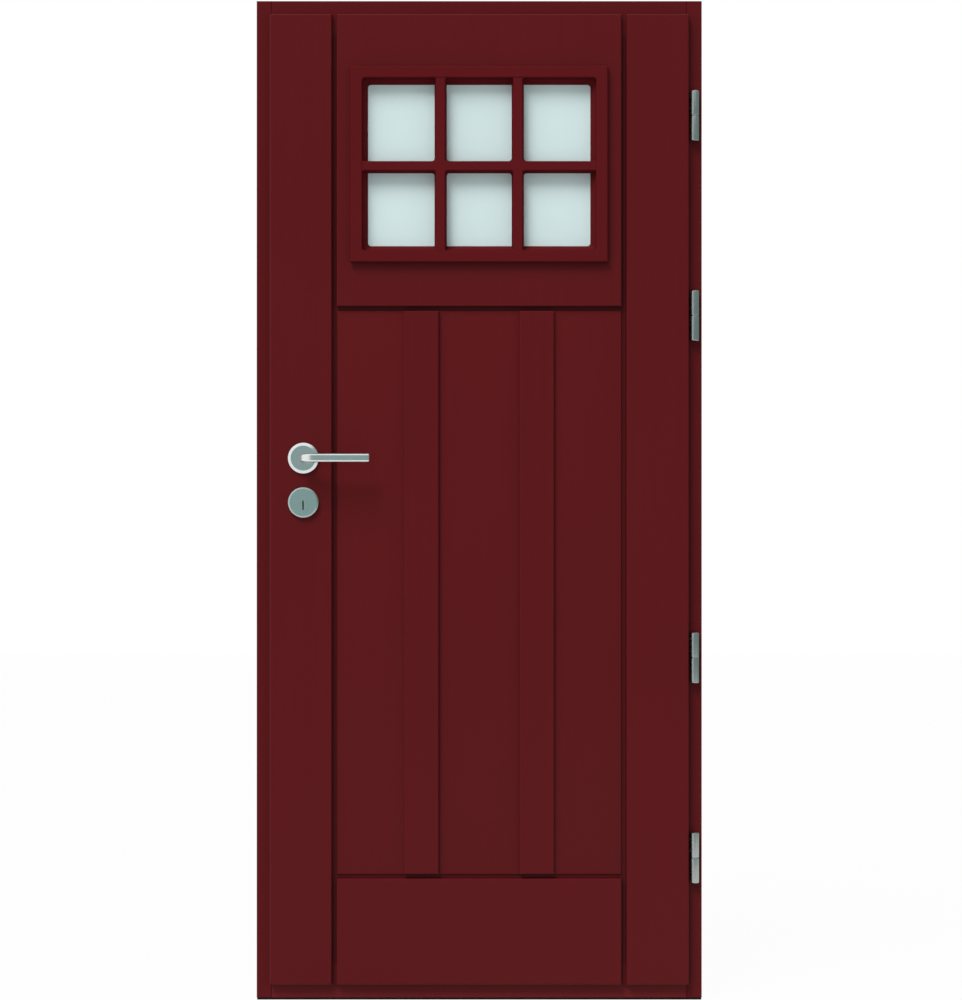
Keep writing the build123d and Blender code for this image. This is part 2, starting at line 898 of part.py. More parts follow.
# Glazing tapes between the glass and the casings
tape_outer_width = sight_width + 2 * (tape_inset + tape_width)
tape_outer_height = sight_height + 2 * (tape_inset + tape_width)
tape_backs = {"outer_glazing_tape": glass_front, "inner_glazing_tape": glass_back + tape_thickness}
for name, back in tape_backs.items():
    with BuildPart() as tape:
        with BuildSketch(facing(back)):
            with Locations((0, window_middle)):
                ring(tape_outer_width, tape_outer_height, tape_width)
        extrude(amount=tape_thickness)
    save(tape, name)

# Setting blocks that carry the glass
setting_block_spread = glass_width - 2 * setting_block_inset - setting_block_length
with BuildPart() as setting_blocks:
    with BuildSketch(facing(glass_back)):
        with Locations((0, window_middle - (glass_height + glass_edge_gap) / 2)):
            with GridLocations(setting_block_spread, 0, 2, 1):
                Rectangle(setting_block_length, glass_edge_gap)
    extrude(amount=glass_depth)
save(setting_blocks, "setting_blocks")

# Hinges: a knuckle on the frame below, a knuckle on the leaf above
for number, centre in enumerate(hinge_heights, start=1):
    knuckle_start = washer_thickness / 2
    knuckle_end = knuckle_start + knuckle_length
    with BuildPart() as frame_knuckle:
        rod(
            barrel_radius,
            (hinge_x, hinge_y, centre - knuckle_end),
            (hinge_x, hinge_y, centre - knuckle_start),
        )
        fillet(frame_knuckle.faces().sort_by(Axis.Z)[0].edges(), knuckle_end_radius)
        for share in stud_shares:
            z = centre - share * knuckle_length
            rod(stud_radius, (hinge_x, hinge_y, z), (hinge_x, frame_front + frame_stud_depth, z))
        rod(
            pin_radius + pin_seat_clearance,
            (hinge_x, hinge_y, centre - pin_reach - pin_end_gap),
            (hinge_x, hinge_y, centre - knuckle_start),
            Mode.SUBTRACT,
        )
    save(frame_knuckle, f"hinge_{number}_frame_knuckle")
    with BuildPart() as leaf_knuckle:
        rod(
            barrel_radius,
            (hinge_x, hinge_y, centre + knuckle_start),
            (hinge_x, hinge_y, centre + knuckle_end),
        )
        fillet(leaf_knuckle.faces().sort_by(Axis.Z)[-1].edges(), knuckle_end_radius)
        for share in stud_shares:
            z = centre + share * knuckle_length
            rod(stud_radius, (hinge_x, hinge_y, z), (leaf_stud_end, hinge_y, z))
        rod(
            pin_radius + pin_running_clearance,
            (hinge_x, hinge_y, centre + knuckle_start),
            (hinge_x, hinge_y, centre + pin_reach + pin_end_gap),
            Mode.SUBTRACT,
        )
    save(leaf_knuckle, f"hinge_{number}_leaf_knuckle")

with BuildPart() as hinge_pins:
    for centre in hinge_heights:
        rod(pin_radius, (hinge_x, hinge_y, centre - pin_reach), (hinge_x, hinge_y, centre + pin_reach))
save(hinge_pins, "hinge_pins")

with BuildPart() as hinge_washers:
    for centre in hinge_heights:
        washer_low = centre - washer_thickness / 2
        washer_high = centre + washer_thickness / 2 - washer_clearance
        rod(washer_radius, (hinge_x, hinge_y, washer_low), (hinge_x, hinge_y, washer_high))
        rod(
            pin_radius + pin_running_clearance,
            (hinge_x, hinge_y, washer_low),
            (hinge_x, hinge_y, washer_high),
            Mode.SUBTRACT,
        )
save(hinge_washers, "hinge_washers")

# Lock case: a tray with a cover plate on its outer side
cover_plate_back = case_front + lock_wall
journal_holes = (
    (journal_radius + running_clearance, handle_height),
    (cam_radius + running_clearance, plug_height),
)
with BuildPart() as lock_case:
    block((forend_back, case_end), (cover_plate_back, case_back), (case_bottom, case_top))
    block(
        (forend_back, case_end - lock_wall),
        (cover_plate_back, case_back - lock_wall),
        (case_bottom + lock_wall, case_top - lock_wall),
        Mode.SUBTRACT,
    )
    for radius, z in journal_holes:
        rod(radius, (spindle_x, lock_y, z), (spindle_x, case_back + overrun, z), Mode.SUBTRACT)
save(lock_case, "lock_case")

with BuildPart() as lock_cover:
    block((forend_back, case_end), (case_front, cover_plate_back), (case_bottom, case_top))
    for radius, z in journal_holes:
        rod(radius, (spindle_x, lock_y, z), (spindle_x, case_front - overrun, z), Mode.SUBTRACT)
save(lock_cover, "lock_cover")

# Forend, let into the edge of the leaf, which guides both bolts
with BuildPart() as lock_forend:
    block(
        (-body_half, forend_back),
        (lock_y - forend_width / 2, lock_y + forend_width / 2),
        (forend_bottom, forend_top),
    )
    for low, high in ((latch_bottom, latch_top), (bolt_bottom, bolt_top)):
        block(
            (-body_half, forend_back),
            (bolt_front - window_clearance, bolt_back + window_clearance),
            (low - window_clearance, high + window_clearance),
            Mode.SUBTRACT,
        )
    for z in forend_screw_heights:
        small_screw_hole((-body_half, lock_y, z), (1, 0, 0), lock_screw_length)
save(lock_forend, "lock_forend")

with BuildPart() as forend_screws:
    for z in forend_screw_heights:
        small_screw((-body_half, lock_y, z), (1, 0, 0), lock_screw_length)
save(forend_screws, "forend_screws")

# Latch bolt: bevelled head, tail over the follower and a lug that its arm pushes
head_rear = spindle_x - latch_head_rear
arm_turn = math.radians(lever_turn_angle)
arm_sweep = follower_arm_reach * math.sin(arm_turn) + follower_arm_width / 2 * math.cos(arm_turn)
lug_left = spindle_x + arm_sweep + lug_clearance - latch_travel
lug_right = lug_left + lug_thickness
with BuildPart() as latch_bolt:
    with BuildSketch(facing(bolt_back)):
        with BuildLine():
            Polyline(
                (latch_tip, latch_bottom),
                (head_rear, latch_bottom),
                (head_rear, handle_height + tail_low),
                (lug_left, handle_height + tail_low),
                (lug_left, handle_height + lug_low),
                (lug_right, handle_height + lug_low),
                (lug_right, latch_top),
                (latch_tip, latch_top),
                close=True,
            )
        make_face()
    extrude(amount=bolt_thickness)
    with BuildSketch(Plane.XY.offset(latch_bottom)):
        with BuildLine():
            Polyline(
                (latch_tip, bolt_front + latch_nose),
                (latch_tip, bolt_back),
                (latch_tip + latch_reach, bolt_back),
                close=True,
            )
        make_face()
    extrude(amount=latch_top - latch_bottom, mode=Mode.SUBTRACT)
save(latch_bolt, "latch_bolt")

# Follower, turned by the spindle, with the arm that draws the latch in
hub_half = lock_thickness / 2 - lock_wall - hub_end_gap
square_hole_half = spindle_width / 2 + square_clearance
with BuildPart() as follower:
    rod(journal_radius, (spindle_x, case_front, handle_height), (spindle_x, case_back, handle_height))
    rod(
        hub_radius,
        (spindle_x, lock_y - hub_half, handle_height),
        (spindle_x, lock_y + hub_half, handle_height),
    )
    block(
        (spindle_x - follower_arm_width / 2, spindle_x + follower_arm_width / 2),
        (lock_y - follower_arm_width / 2, lock_y + follower_arm_width / 2),
        (handle_height, handle_height + follower_arm_reach),
    )
    block(
        (spindle_x - square_hole_half, spindle_x + square_hole_half),
        (case_front, case_back),
        (handle_height - square_hole_half, handle_height + square_hole_half),
        Mode.SUBTRACT,
    )
save(follower, "follower")

with BuildPart() as spindle:
    block(
        (spindle_x - spindle_width / 2, spindle_x + spindle_width / 2),
        (leaf_front - spindle_grip, leaf_back + spindle_grip),
        (handle_height - spindle_width / 2, handle_height + spindle_width / 2),
    )
save(spindle, "spindle")

# Lever: a rounded flat bar bent from a round collar that turns in the rosette
lever_y = leaf_front - lever_standoff
collar_end = rosette_front - collar_proud
with BuildPart() as outer_lever:
    with BuildLine() as lever_path:
        FilletPolyline(
            (spindle_x, rosette_front, handle_height),
            (spindle_x, lever_y, handle_height),
            (spindle_x + lever_reach, lever_y, handle_height),
            radius=lever_bend_radius,
        )
    with BuildSketch(facing(rosette_front)):
        with Locations((spindle_x, handle_height)):
            RectangleRounded(lever_thickness, lever_height, lever_corner_radius)
    sweep(path=lever_path.wires()[0])
    fillet(outer_lever.faces().sort_by(Axis.X)[-1].edges(), lever_end_radius)
    rod(collar_radius, (spindle_x, leaf_front, handle_height), (spindle_x, collar_end, handle_height))
    block(
        (spindle_x - square_hole_half, spindle_x + square_hole_half),
        (leaf_front - spindle_grip - spindle_end_gap, leaf_front),
        (handle_height - square_hole_half, handle_height + square_hole_half),
        Mode.SUBTRACT,
    )
save(outer_lever, "outer_lever")

with BuildPart() as inner_lever:
    mirror(outer_lever.part, about=facing(leaf_middle))
save(inner_lever, "inner_lever")

# Rosettes under the levers, turned with a bevelled rim
with BuildPart() as outer_rosette:
    with BuildSketch(Plane((spindle_x, leaf_front, handle_height), x_dir=(1, 0, 0), z_dir=(0, 0, -1))):
        with BuildLine():
            Polyline(
                (collar_radius + collar_clearance, 0),
                (rosette_radius, 0),
                (rosette_radius, rosette_thickness - rosette_rim_drop),
                (rosette_radius - rosette_rim, rosette_thickness),
                (collar_radius + collar_clearance, rosette_thickness),
                close=True,
            )
        make_face()
    revolve(axis=Axis((spindle_x, leaf_front, handle_height), (0, 1, 0)))
save(outer_rosette, "outer_rosette")

with BuildPart() as inner_rosette:
    mirror(outer_rosette.part, about=facing(leaf_middle))
save(inner_rosette, "inner_rosette")

# Cylinder housing: round cover on the leaf, with the barrel that the key plug turns in
with BuildPart() as cylinder_housing:
    with BuildSketch(Plane((spindle_x, leaf_front, cover_height), x_dir=(1, 0, 0), z_dir=(0, 0, -1))):
        with BuildLine():
            Polyline(
                (0, 0),
                (cover_radius, 0),
                (cover_radius, cover_thickness - cover_rim_drop),
                (cover_radius - cover_rim, cover_thickness),
                (0, cover_thickness),
                close=True,
            )
        make_face()
    revolve(axis=Axis((spindle_x, leaf_front, cover_height), (0, 1, 0)))
    rod(
        barrel_outer_radius,
        (spindle_x, leaf_front, plug_height),
        (spindle_x, case_front - mortise_clearance, plug_height),
    )
    rod(
        plug_radius + running_clearance,
        (spindle_x, cover_front - overrun, plug_height),
        (spindle_x, case_front, plug_height),
        Mode.SUBTRACT,
    )
save(cylinder_housing, "cylinder_housing")

# Key plug, with its keyway and the square tail that turns the cam
tail_half = tail_width / 2
plug_face = cover_front - plug_proud
with BuildPart() as key_plug:
    rod(
        plug_radius,
        (spindle_x, plug_face, plug_height),
        (spindle_x, case_front - plug_rear_gap, plug_height),
    )
    block(
        (spindle_x - key_slot_width / 2, spindle_x + key_slot_width / 2),
        (plug_face, plug_face + key_slot_depth),
        (plug_height - key_slot_height / 2, plug_height + key_slot_height / 2),
        Mode.SUBTRACT,
    )
    block(
        (spindle_x - tail_half, spindle_x + tail_half),
        (case_front - plug_rear_gap, lock_y),
        (plug_height - tail_half, plug_height + tail_half),
    )
save(key_plug, "key_plug")

# Cam that throws the dead bolt, its arm leaning towards the hinge side at rest
cam_hole_half = tail_half + square_clearance
with BuildPart() as bolt_cam:
    rod(cam_radius, (spindle_x, case_front, plug_height), (spindle_x, case_back, plug_height))
    with Locations(Location((spindle_x, lock_y, plug_height), (0, cam_rest_angle, 0))):
        Box(cam_arm_width, cam_arm_thickness, cam_arm_reach, align=ON_BASE)
    block(
        (spindle_x - cam_hole_half, spindle_x + cam_hole_half),
        (case_front, case_back),
        (plug_height - cam_hole_half, plug_height + cam_hole_half),
        Mode.SUBTRACT,
    )
save(bolt_cam, "bolt_cam")

# Dead bolt, notched below for the cam
notch_left = spindle_x + notch_centre - notch_width / 2
notch_right = spindle_x + notch_centre + notch_width / 2
with BuildPart() as dead_bolt:
    with BuildSketch(facing(bolt_back)):
        with BuildLine():
            Polyline(
                (-body_half, bolt_bottom),
                (notch_left, bolt_bottom),
                (notch_left, plug_height + notch_high),
                (notch_right, plug_height + notch_high),
                (notch_right, bolt_bottom),
                (notch_right + bolt_tail, bolt_bottom),
                (notch_right + bolt_tail, bolt_top),
                (-body_half, bolt_top),
                close=True,
            )
        make_face()
    extrude(amount=bolt_thickness)
    chamfer(dead_bolt.faces().sort_by(Axis.X)[0].edges(), bolt_edge_radius)
save(dead_bolt, "dead_bolt")

# Rosette and thumb turn on the inside
with BuildPart() as turn_rosette:
    with BuildSketch(Plane((spindle_x, leaf_back, cover_height), x_dir=(1, 0, 0), z_dir=(0, 0, 1))):
        with BuildLine():
            Polyline(
                (0, 0),
                (cover_radius, 0),
                (cover_radius, cover_thickness - cover_rim_drop),
                (cover_radius - cover_rim, cover_thickness),
                (0, cover_thickness),
                close=True,
            )
        make_face()
    revolve(axis=Axis((spindle_x, leaf_back, cover_height), (0, 1, 0)))
    rod(
        turn_shaft_radius + running_clearance,
        (spindle_x, leaf_back, plug_height),
        (spindle_x, turn_face + overrun, plug_height),
        Mode.SUBTRACT,
    )
save(turn_rosette, "turn_rosette")

with BuildPart() as thumb_turn:
    with BuildSketch(facing(turn_face + turn_gap + turn_height)):
        with Locations((spindle_x, plug_height)):
            SlotOverall(turn_length, turn_width, rotation=90)
    extrude(amount=turn_height)
    fillet(thumb_turn.faces().sort_by(Axis.Y)[-1].edges(), turn_edge_radius)
    rod(
        turn_shaft_radius,
        (spindle_x, case_back + plug_rear_gap, plug_height),
        (spindle_x, turn_face + turn_gap, plug_height),
    )
    block(
        (spindle_x - tail_half, spindle_x + tail_half),
        (lock_y + plug_rear_gap, case_back + plug_rear_gap),
        (plug_height - tail_half, plug_height + tail_half),
    )
save(thumb_turn, "thumb_turn")
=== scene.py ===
import logging
import math
from dataclasses import dataclass
from enum import Enum

import bmesh
import bpy
from mathutils import Matrix, Vector


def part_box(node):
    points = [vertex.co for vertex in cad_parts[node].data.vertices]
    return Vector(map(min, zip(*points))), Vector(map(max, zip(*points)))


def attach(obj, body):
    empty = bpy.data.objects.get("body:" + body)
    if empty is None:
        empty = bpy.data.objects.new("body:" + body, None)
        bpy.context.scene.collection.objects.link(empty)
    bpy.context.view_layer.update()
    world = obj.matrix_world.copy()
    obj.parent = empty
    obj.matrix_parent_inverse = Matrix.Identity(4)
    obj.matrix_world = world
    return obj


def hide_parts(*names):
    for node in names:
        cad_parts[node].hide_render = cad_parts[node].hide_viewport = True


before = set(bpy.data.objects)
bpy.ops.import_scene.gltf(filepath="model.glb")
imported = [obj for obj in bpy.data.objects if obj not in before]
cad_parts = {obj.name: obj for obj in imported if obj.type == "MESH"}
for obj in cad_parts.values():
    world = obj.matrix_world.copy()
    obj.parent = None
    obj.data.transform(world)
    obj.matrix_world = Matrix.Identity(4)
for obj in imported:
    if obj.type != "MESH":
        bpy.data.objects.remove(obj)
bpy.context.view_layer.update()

log = logging.getLogger("front_door")

MM = 0.001
SMOOTH_ANGLE = math.radians(32)
GRAIN_STRETCH = 0.035
Colour = tuple[float, float, float]
Point = tuple[float, float, float]
Section = list[tuple[float, float]]
Socket = bpy.types.NodeSocket
Material = bpy.types.Material
Piece = bpy.types.Object
Mesh = bmesh.types.BMesh
Vert = bmesh.types.BMVert


class Grain(Enum):
    """Way the timber's grain runs under the paint, as the stretch of its pattern along X, Y and Z."""

    UPRIGHT = (1.0, 1.0, GRAIN_STRETCH)
    LEVEL = (GRAIN_STRETCH, 1.0, 1.0)


class Brushing(Enum):
    """Way the polishing lines run on a metal piece."""

    ALONG_X = "along_x"
    AROUND_Y = "around_y"
    AROUND_Z = "around_z"


class Drive(Enum):
    """Way a screw is driven in, as the direction from its head to its tip."""

    INTO_MINUS_X = (-1.0, 0.0, 0.0)
    INTO_PLUS_X = (1.0, 0.0, 0.0)
    INTO_MINUS_Y = (0.0, -1.0, 0.0)


class Graph:
    """Node tree of one material, with a principled shader at its end."""

    pattern_low = 0.25
    pattern_high = 0.75

    def __init__(self, name: str) -> None:
        """Start an empty tree.

        Args:
            name: Name of the material.
        """
        self.material = bpy.data.materials.new(name)
        self.material.use_nodes = True
        self.tree = self.material.node_tree
        self.tree.nodes.clear()
        self.output = self.tree.nodes.new("ShaderNodeOutputMaterial")
        self.shader = self.tree.nodes.new("ShaderNodeBsdfPrincipled")
        self.join(self.shader.outputs["BSDF"], self.output.inputs["Surface"])

    def add(self, kind: str, **settings: object) -> bpy.types.Node:
        """Add a node.

        Args:
            kind: Blender's name of the node type.
            settings: Properties of the node to set.

        Returns:
            The new node.
        """
        node = self.tree.nodes.new(kind)
        for name, value in settings.items():
            setattr(node, name, value)
        return node

    def join(self, source: Socket, target: Socket) -> None:
        """Link an output to an input."""
        self.tree.links.new(source, target)

    def set(self, **values: object) -> None:
        """Set sockets of the principled shader, with spaces in their names written as underscores."""
        for name, value in values.items():
            self.shader.inputs[name.replace("_", " ")].default_value = value

    def places(self) -> Socket:
        """Give the object's own coordinates, in metres."""
        return self.add("ShaderNodeTexCoord").outputs["Object"]

    def stretched(self, vector: Socket, scale: Point) -> Socket:
        """Scale a vector along each axis.

        Args:
            vector: Vector to scale.
            scale: Factor along X, Y and Z.

        Returns:
            The scaled vector.
        """
        node = self.add("ShaderNodeMapping")
        node.inputs["Scale"].default_value = scale
        self.join(vector, node.inputs["Vector"])
        return node.outputs["Vector"]

    def noise(self, vector: Socket, scale: float, detail: float = 3.0) -> Socket:
        """Add a noise pattern.

        Args:
            vector: Place in the pattern.
            scale: Number of features in a metre.
            detail: Number of finer layers.

        Returns:
            The pattern, from 0 to 1.
        """
        node = self.add("ShaderNodeTexNoise")
        node.inputs["Scale"].default_value = scale
        node.inputs["Detail"].default_value = detail
        self.join(vector, node.inputs["Vector"])
        return node.outputs["Fac"]

    def varied(self, value: Socket, spread: float, centre: float = 1.0) -> Socket:
        """Map a pattern to values round a centre, as far as the spread to each side."""
        return self.ranged(value, centre - spread, centre + spread)

    def ranged(self, value: Socket, low: float, high: float) -> Socket:
        """Map the middle half of a pattern to a range, from its dark parts to its light ones."""
        return self.ramp(value, self.pattern_low, self.pattern_high, low, high)

    def ramp(self, value: Socket, start: float, end: float, low: float, high: float) -> Socket:
        """Map a value to a range, and hold it level outside that range.

        Args:
            value: Value to map.
            start: Value that gives the low result.
            end: Value that gives the high result.
            low: Result at the start.
            high: Result at the end.

        Returns:
            The mapped value.
        """
        node = self.add("ShaderNodeMapRange")
        for name, number in zip(("From Min", "From Max", "To Min", "To Max"), (start, end, low, high)):
            node.inputs[name].default_value = number
        self.join(value, node.inputs["Value"])
        return node.outputs["Result"]

    def away(self, value: Socket, centre: float) -> Socket:
        """Give how far a coordinate lies from a centre."""
        return self.maths("ABSOLUTE", self.maths("SUBTRACT", value, centre), 0.0)

    def maths(self, operation: str, first: object, second: object) -> Socket:
        """Combine two values.

        Args:
            operation: Blender's name of the operation.
            first: Socket or number.
            second: Socket or number.

        Returns:
            The result.
        """
        node = self.add("ShaderNodeMath", operation=operation)
        for place, value in enumerate((first, second)):
            if isinstance(value, Socket):
                self.join(value, node.inputs[place])
            else:
                node.inputs[place].default_value = value
        return node.outputs["Value"]

    def tinted(self, colour: Colour, amount: Socket) -> Socket:
        """Multiply a colour by a value that varies over the surface.

        Args:
            colour: Colour to vary.
            amount: Factor, about 1.

        Returns:
            The varied colour.
        """
        node = self.add("ShaderNodeVectorMath", operation="SCALE")
        node.inputs[0].default_value = colour
        self.join(amount, node.inputs["Scale"])
        return node.outputs["Vector"]

    def bumps(self, layers: list[tuple[Socket, float]]) -> None:
        """Raise the surface by several patterns.

        Args:
            layers: Each pattern with its height in metres.
        """
        normal = None
        for pattern, height in layers:
            node = self.add("ShaderNodeBump")
            node.inputs["Strength"].default_value = 1.0
            node.inputs["Distance"].default_value = height
            self.join(pattern, node.inputs["Height"])
            if normal is not None:
                self.join(normal, node.inputs["Normal"])
            normal = node.outputs["Normal"]
        self.join(normal, self.shader.inputs["Normal"])


@dataclass(frozen=True)
class Grooves:
    """Where the leaf's grooves lie, for the painted shade on their floors."""

    leaf_middle: float
    floor_half: float
    start_half: float
    half_width: float
    middle_height: float
    half_height: float
    edge: float = 20.0 * MM
    # Factor of the paint's colour on the groove floors: painted shade where the grooves lie in shadow.
    painted_shade: float = 0.68

    def shade(self, graph: Graph) -> Socket:
        """Darken the floors of the grooves as painted shade, and leave the leaf's own edges unshaded.

        Args:
            graph: Tree of the paint.

        Returns:
            Factor of the paint's colour, up to 1.
        """
        split = graph.add("ShaderNodeSeparateXYZ")
        graph.join(graph.places(), split.inputs["Vector"])
        depth = graph.away(split.outputs["Y"], self.leaf_middle)
        across = graph.away(split.outputs["X"], 0.0)
        up = graph.away(split.outputs["Z"], self.middle_height)
        floor = graph.ramp(depth, self.floor_half, self.start_half, self.painted_shade, 1.0)
        side = graph.ramp(across, self.half_width - self.edge, self.half_width, 0.0, 1.0)
        end = graph.ramp(up, self.half_height - self.edge, self.half_height, 0.0, 1.0)
        return graph.maths("MAXIMUM", floor, graph.maths("MAXIMUM", side, end))


@dataclass(frozen=True)
class Paint:
    """Satin paint over planed timber, with the grain just showing through."""

    colour: Colour
    grain: Grain | None = None
    sheen_level: float = 0.10
    # Grooves whose floors get painted shade, if any.
    grooves: Grooves | None = None
    cloud_scale: float = 2.2
    cloud_detail: float = 2.0
    cloud_spread: float = 0.03
    peel_scale: float = 620.0
    peel_detail: float = 2.0
    peel_height: float = 0.01 * MM
    line_scale: float = 240.0
    line_detail: float = 5.0
    line_height: float = 0.03 * MM
    band_scale: float = 38.0
    band_height: float = 0.04 * MM
    grain_spread: float = 0.015
    roughness: float = 0.41
    peel_roughness_spread: float = 0.03
    grain_roughness_spread: float = 0.05

    def material(self, name: str) -> Material:
        """Make the material.

        Args:
            name: Name of the material.

        Returns:
            The new material.
        """
        graph = Graph(name)
        places = graph.places()
        cloud = graph.noise(places, self.cloud_scale, self.cloud_detail)
        peel = graph.noise(places, self.peel_scale, self.peel_detail)
        layers = [(peel, self.peel_height)]
        shade = graph.varied(cloud, self.cloud_spread)
        gloss = graph.varied(peel, self.peel_roughness_spread, self.roughness)
        if self.grain is not None:
            along = graph.stretched(places, self.grain.value)
            line = graph.noise(along, self.line_scale, self.line_detail)
            band = graph.noise(along, self.band_scale)
            shade = graph.maths("MULTIPLY", shade, graph.varied(line, self.grain_spread))
            shade = graph.maths("MULTIPLY", shade, graph.varied(band, self.grain_spread))
            gloss = graph.varied(line, self.grain_roughness_spread, self.roughness)
            layers += [(line, self.line_height), (band, self.band_height)]
        # Painted shade on the floors of the grooves.
        if self.grooves is not None:
            shade = graph.maths("MULTIPLY", shade, self.grooves.shade(graph))
        graph.join(graph.tinted(self.colour, shade), graph.shader.inputs["Base Color"])
        graph.join(gloss, graph.shader.inputs["Roughness"])
        graph.set(Specular_IOR_Level=self.sheen_level)
        graph.bumps(layers)
        return graph.material


@dataclass(frozen=True)
class BrushedMetal:
    """Satin metal with fine polishing lines."""

    colour: Colour
    brushing: Brushing
    centre: Point = (0.0, 0.0, 0.0)
    roughness: float = 0.30
    roughness_spread: float = 0.04
    anisotropy: float = 0.35
    line_scale: float = 1500.0
    line_stretch: float = 0.02
    line_spread: float = 0.04
    line_height: float = 0.002 * MM
    circle_scale: float = 1700.0
    circle_stretch: float = 0.001
    cloud_scale: float = 60.0
    cloud_spread: float = 0.015

    def lines(self, graph: Graph) -> Socket:
        """Make the polishing lines.

        Args:
            graph: Tree that the lines belong to.

        Returns:
            The pattern, from 0 to 1.
        """
        places = graph.places()
        if self.brushing is Brushing.ALONG_X:
            return graph.noise(graph.stretched(places, (self.line_stretch, 1.0, 1.0)), self.line_scale)
        if self.brushing is Brushing.AROUND_Z:
            scale = (self.line_stretch, self.line_stretch, 1.0)
            return graph.noise(graph.stretched(places, scale), self.line_scale)
        shift = graph.add("ShaderNodeVectorMath", operation="SUBTRACT")
        shift.inputs[1].default_value = self.centre
        graph.join(places, shift.inputs[0])
        split = graph.add("ShaderNodeSeparateXYZ")
        graph.join(shift.outputs["Vector"], split.inputs["Vector"])
        squares = [graph.maths("MULTIPLY", split.outputs[axis], split.outputs[axis]) for axis in ("X", "Z")]
        radius = graph.maths("SQRT", graph.maths("ADD", *squares), 0.0)
        angle = graph.maths("ARCTAN2", split.outputs["X"], split.outputs["Z"])
        joined = graph.add("ShaderNodeCombineXYZ")
        graph.join(radius, joined.inputs["X"])
        graph.join(graph.maths("MULTIPLY", angle, self.circle_stretch), joined.inputs["Y"])
        graph.join(split.outputs["Y"], joined.inputs["Z"])
        return graph.noise(joined.outputs["Vector"], self.circle_scale)

    def material(self, name: str) -> Material:
        """Make the material.

        Args:
            name: Name of the material.

        Returns:
            The new material.
        """
        graph = Graph(name)
        lines = self.lines(graph)
        cloud = graph.noise(graph.places(), self.cloud_scale)
        streaks = graph.varied(lines, self.line_spread)
        shade = graph.maths("MULTIPLY", streaks, graph.varied(cloud, self.cloud_spread))
        gloss = graph.varied(lines, self.roughness_spread, self.roughness)
        graph.join(graph.tinted(self.colour, shade), graph.shader.inputs["Base Color"])
        graph.join(gloss, graph.shader.inputs["Roughness"])
        graph.set(Metallic=1.0, Anisotropic=self.anisotropy)
        graph.bumps([(lines, self.line_height)])
        return graph.material


@dataclass(frozen=True)
class PlatedSteel:
    """Zinc-plated steel, blotchy and a little rolled."""

    colour: Colour
    roughness: float = 0.38
    smoother: float = 0.08
    rougher: float = 0.10
    spangle_scale: float = 260.0
    spangle_detail: float = 4.0
    spangle_spread: float = 0.12
    rolling: Point = (1.0, 1.0, 0.03)
    rolled_scale: float = 900.0
    rolled_spread: float = 0.04
    height: float = 0.01 * MM

    def material(self, name: str) -> Material:
        """Make the material.

        Args:
            name: Name of the material.

        Returns:
            The new material.
        """
        graph = Graph(name)
        places = graph.places()
        spangle = graph.noise(places, self.spangle_scale, self.spangle_detail)
        rolled = graph.noise(graph.stretched(places, self.rolling), self.rolled_scale)
        blotches = graph.varied(spangle, self.spangle_spread)
        shade = graph.maths("MULTIPLY", blotches, graph.varied(rolled, self.rolled_spread))
        gloss = graph.ranged(spangle, self.roughness - self.smoother, self.roughness + self.rougher)
        graph.join(graph.tinted(self.colour, shade), graph.shader.inputs["Base Color"])
        graph.join(gloss, graph.shader.inputs["Roughness"])
        graph.set(Metallic=1.0)
        graph.bumps([(rolled, self.height), (spangle, self.height)])
        return graph.material


@dataclass(frozen=True)
class SatinGlass:
    """Etched glass that lets light through but no sight."""

    colour: Colour
    transmission: float = 0.06
    index: float = 1.5
    sheen_level: float = 0.25
    roughness: float = 0.58
    roughness_spread: float = 0.06
    etch_scale: float = 2600.0
    etch_detail: float = 2.0
    etch_height: float = 0.01 * MM
    cloud_scale: float = 7.0
    cloud_detail: float = 2.0
    spread: float = 0.015

    def material(self, name: str) -> Material:
        """Make the material.

        Args:
            name: Name of the material.

        Returns:
            The new material.
        """
        graph = Graph(name)
        places = graph.places()
        etch = graph.noise(places, self.etch_scale, self.etch_detail)
        cloud = graph.noise(places, self.cloud_scale, self.cloud_detail)
        shade = graph.maths("MULTIPLY", graph.varied(cloud, self.spread), graph.varied(etch, self.spread))
        gloss = graph.varied(etch, self.roughness_spread, self.roughness)
        graph.join(graph.tinted(self.colour, shade), graph.shader.inputs["Base Color"])
        graph.join(gloss, graph.shader.inputs["Roughness"])
        graph.set(Transmission_Weight=self.transmission, IOR=self.index, Specular_IOR_Level=self.sheen_level)
        graph.bumps([(etch, self.etch_height)])
        return graph.material


@dataclass(frozen=True)
class ClearGlass:
    """Float glass with a faint green tint and a trace of rolling."""

    colour: Colour
    index: float = 1.5
    rolling: Point = (1.0, 1.0, 0.2)
    wave_scale: float = 9.0
    wave_detail: float = 1.0
    wave_height: float = 0.02 * MM
    wave_shade: float = 0.99
    most_roughness: float = 0.02

    def material(self, name: str) -> Material:
        """Make the material.

        Args:
            name: Name of the material.

        Returns:
            The new material.
        """
        graph = Graph(name)
        places = graph.places()
        rolled = graph.stretched(places, self.rolling)
        wave = graph.noise(rolled, self.wave_scale, self.wave_detail)
        shade = graph.ranged(wave, self.wave_shade, 1.0)
        graph.join(graph.ranged(wave, 0.0, self.most_roughness), graph.shader.inputs["Roughness"])
        graph.join(graph.tinted(self.colour, shade), graph.shader.inputs["Base Color"])
        graph.set(Transmission_Weight=1.0, IOR=self.index)
        graph.bumps([(wave, self.wave_height)])
        return graph.material


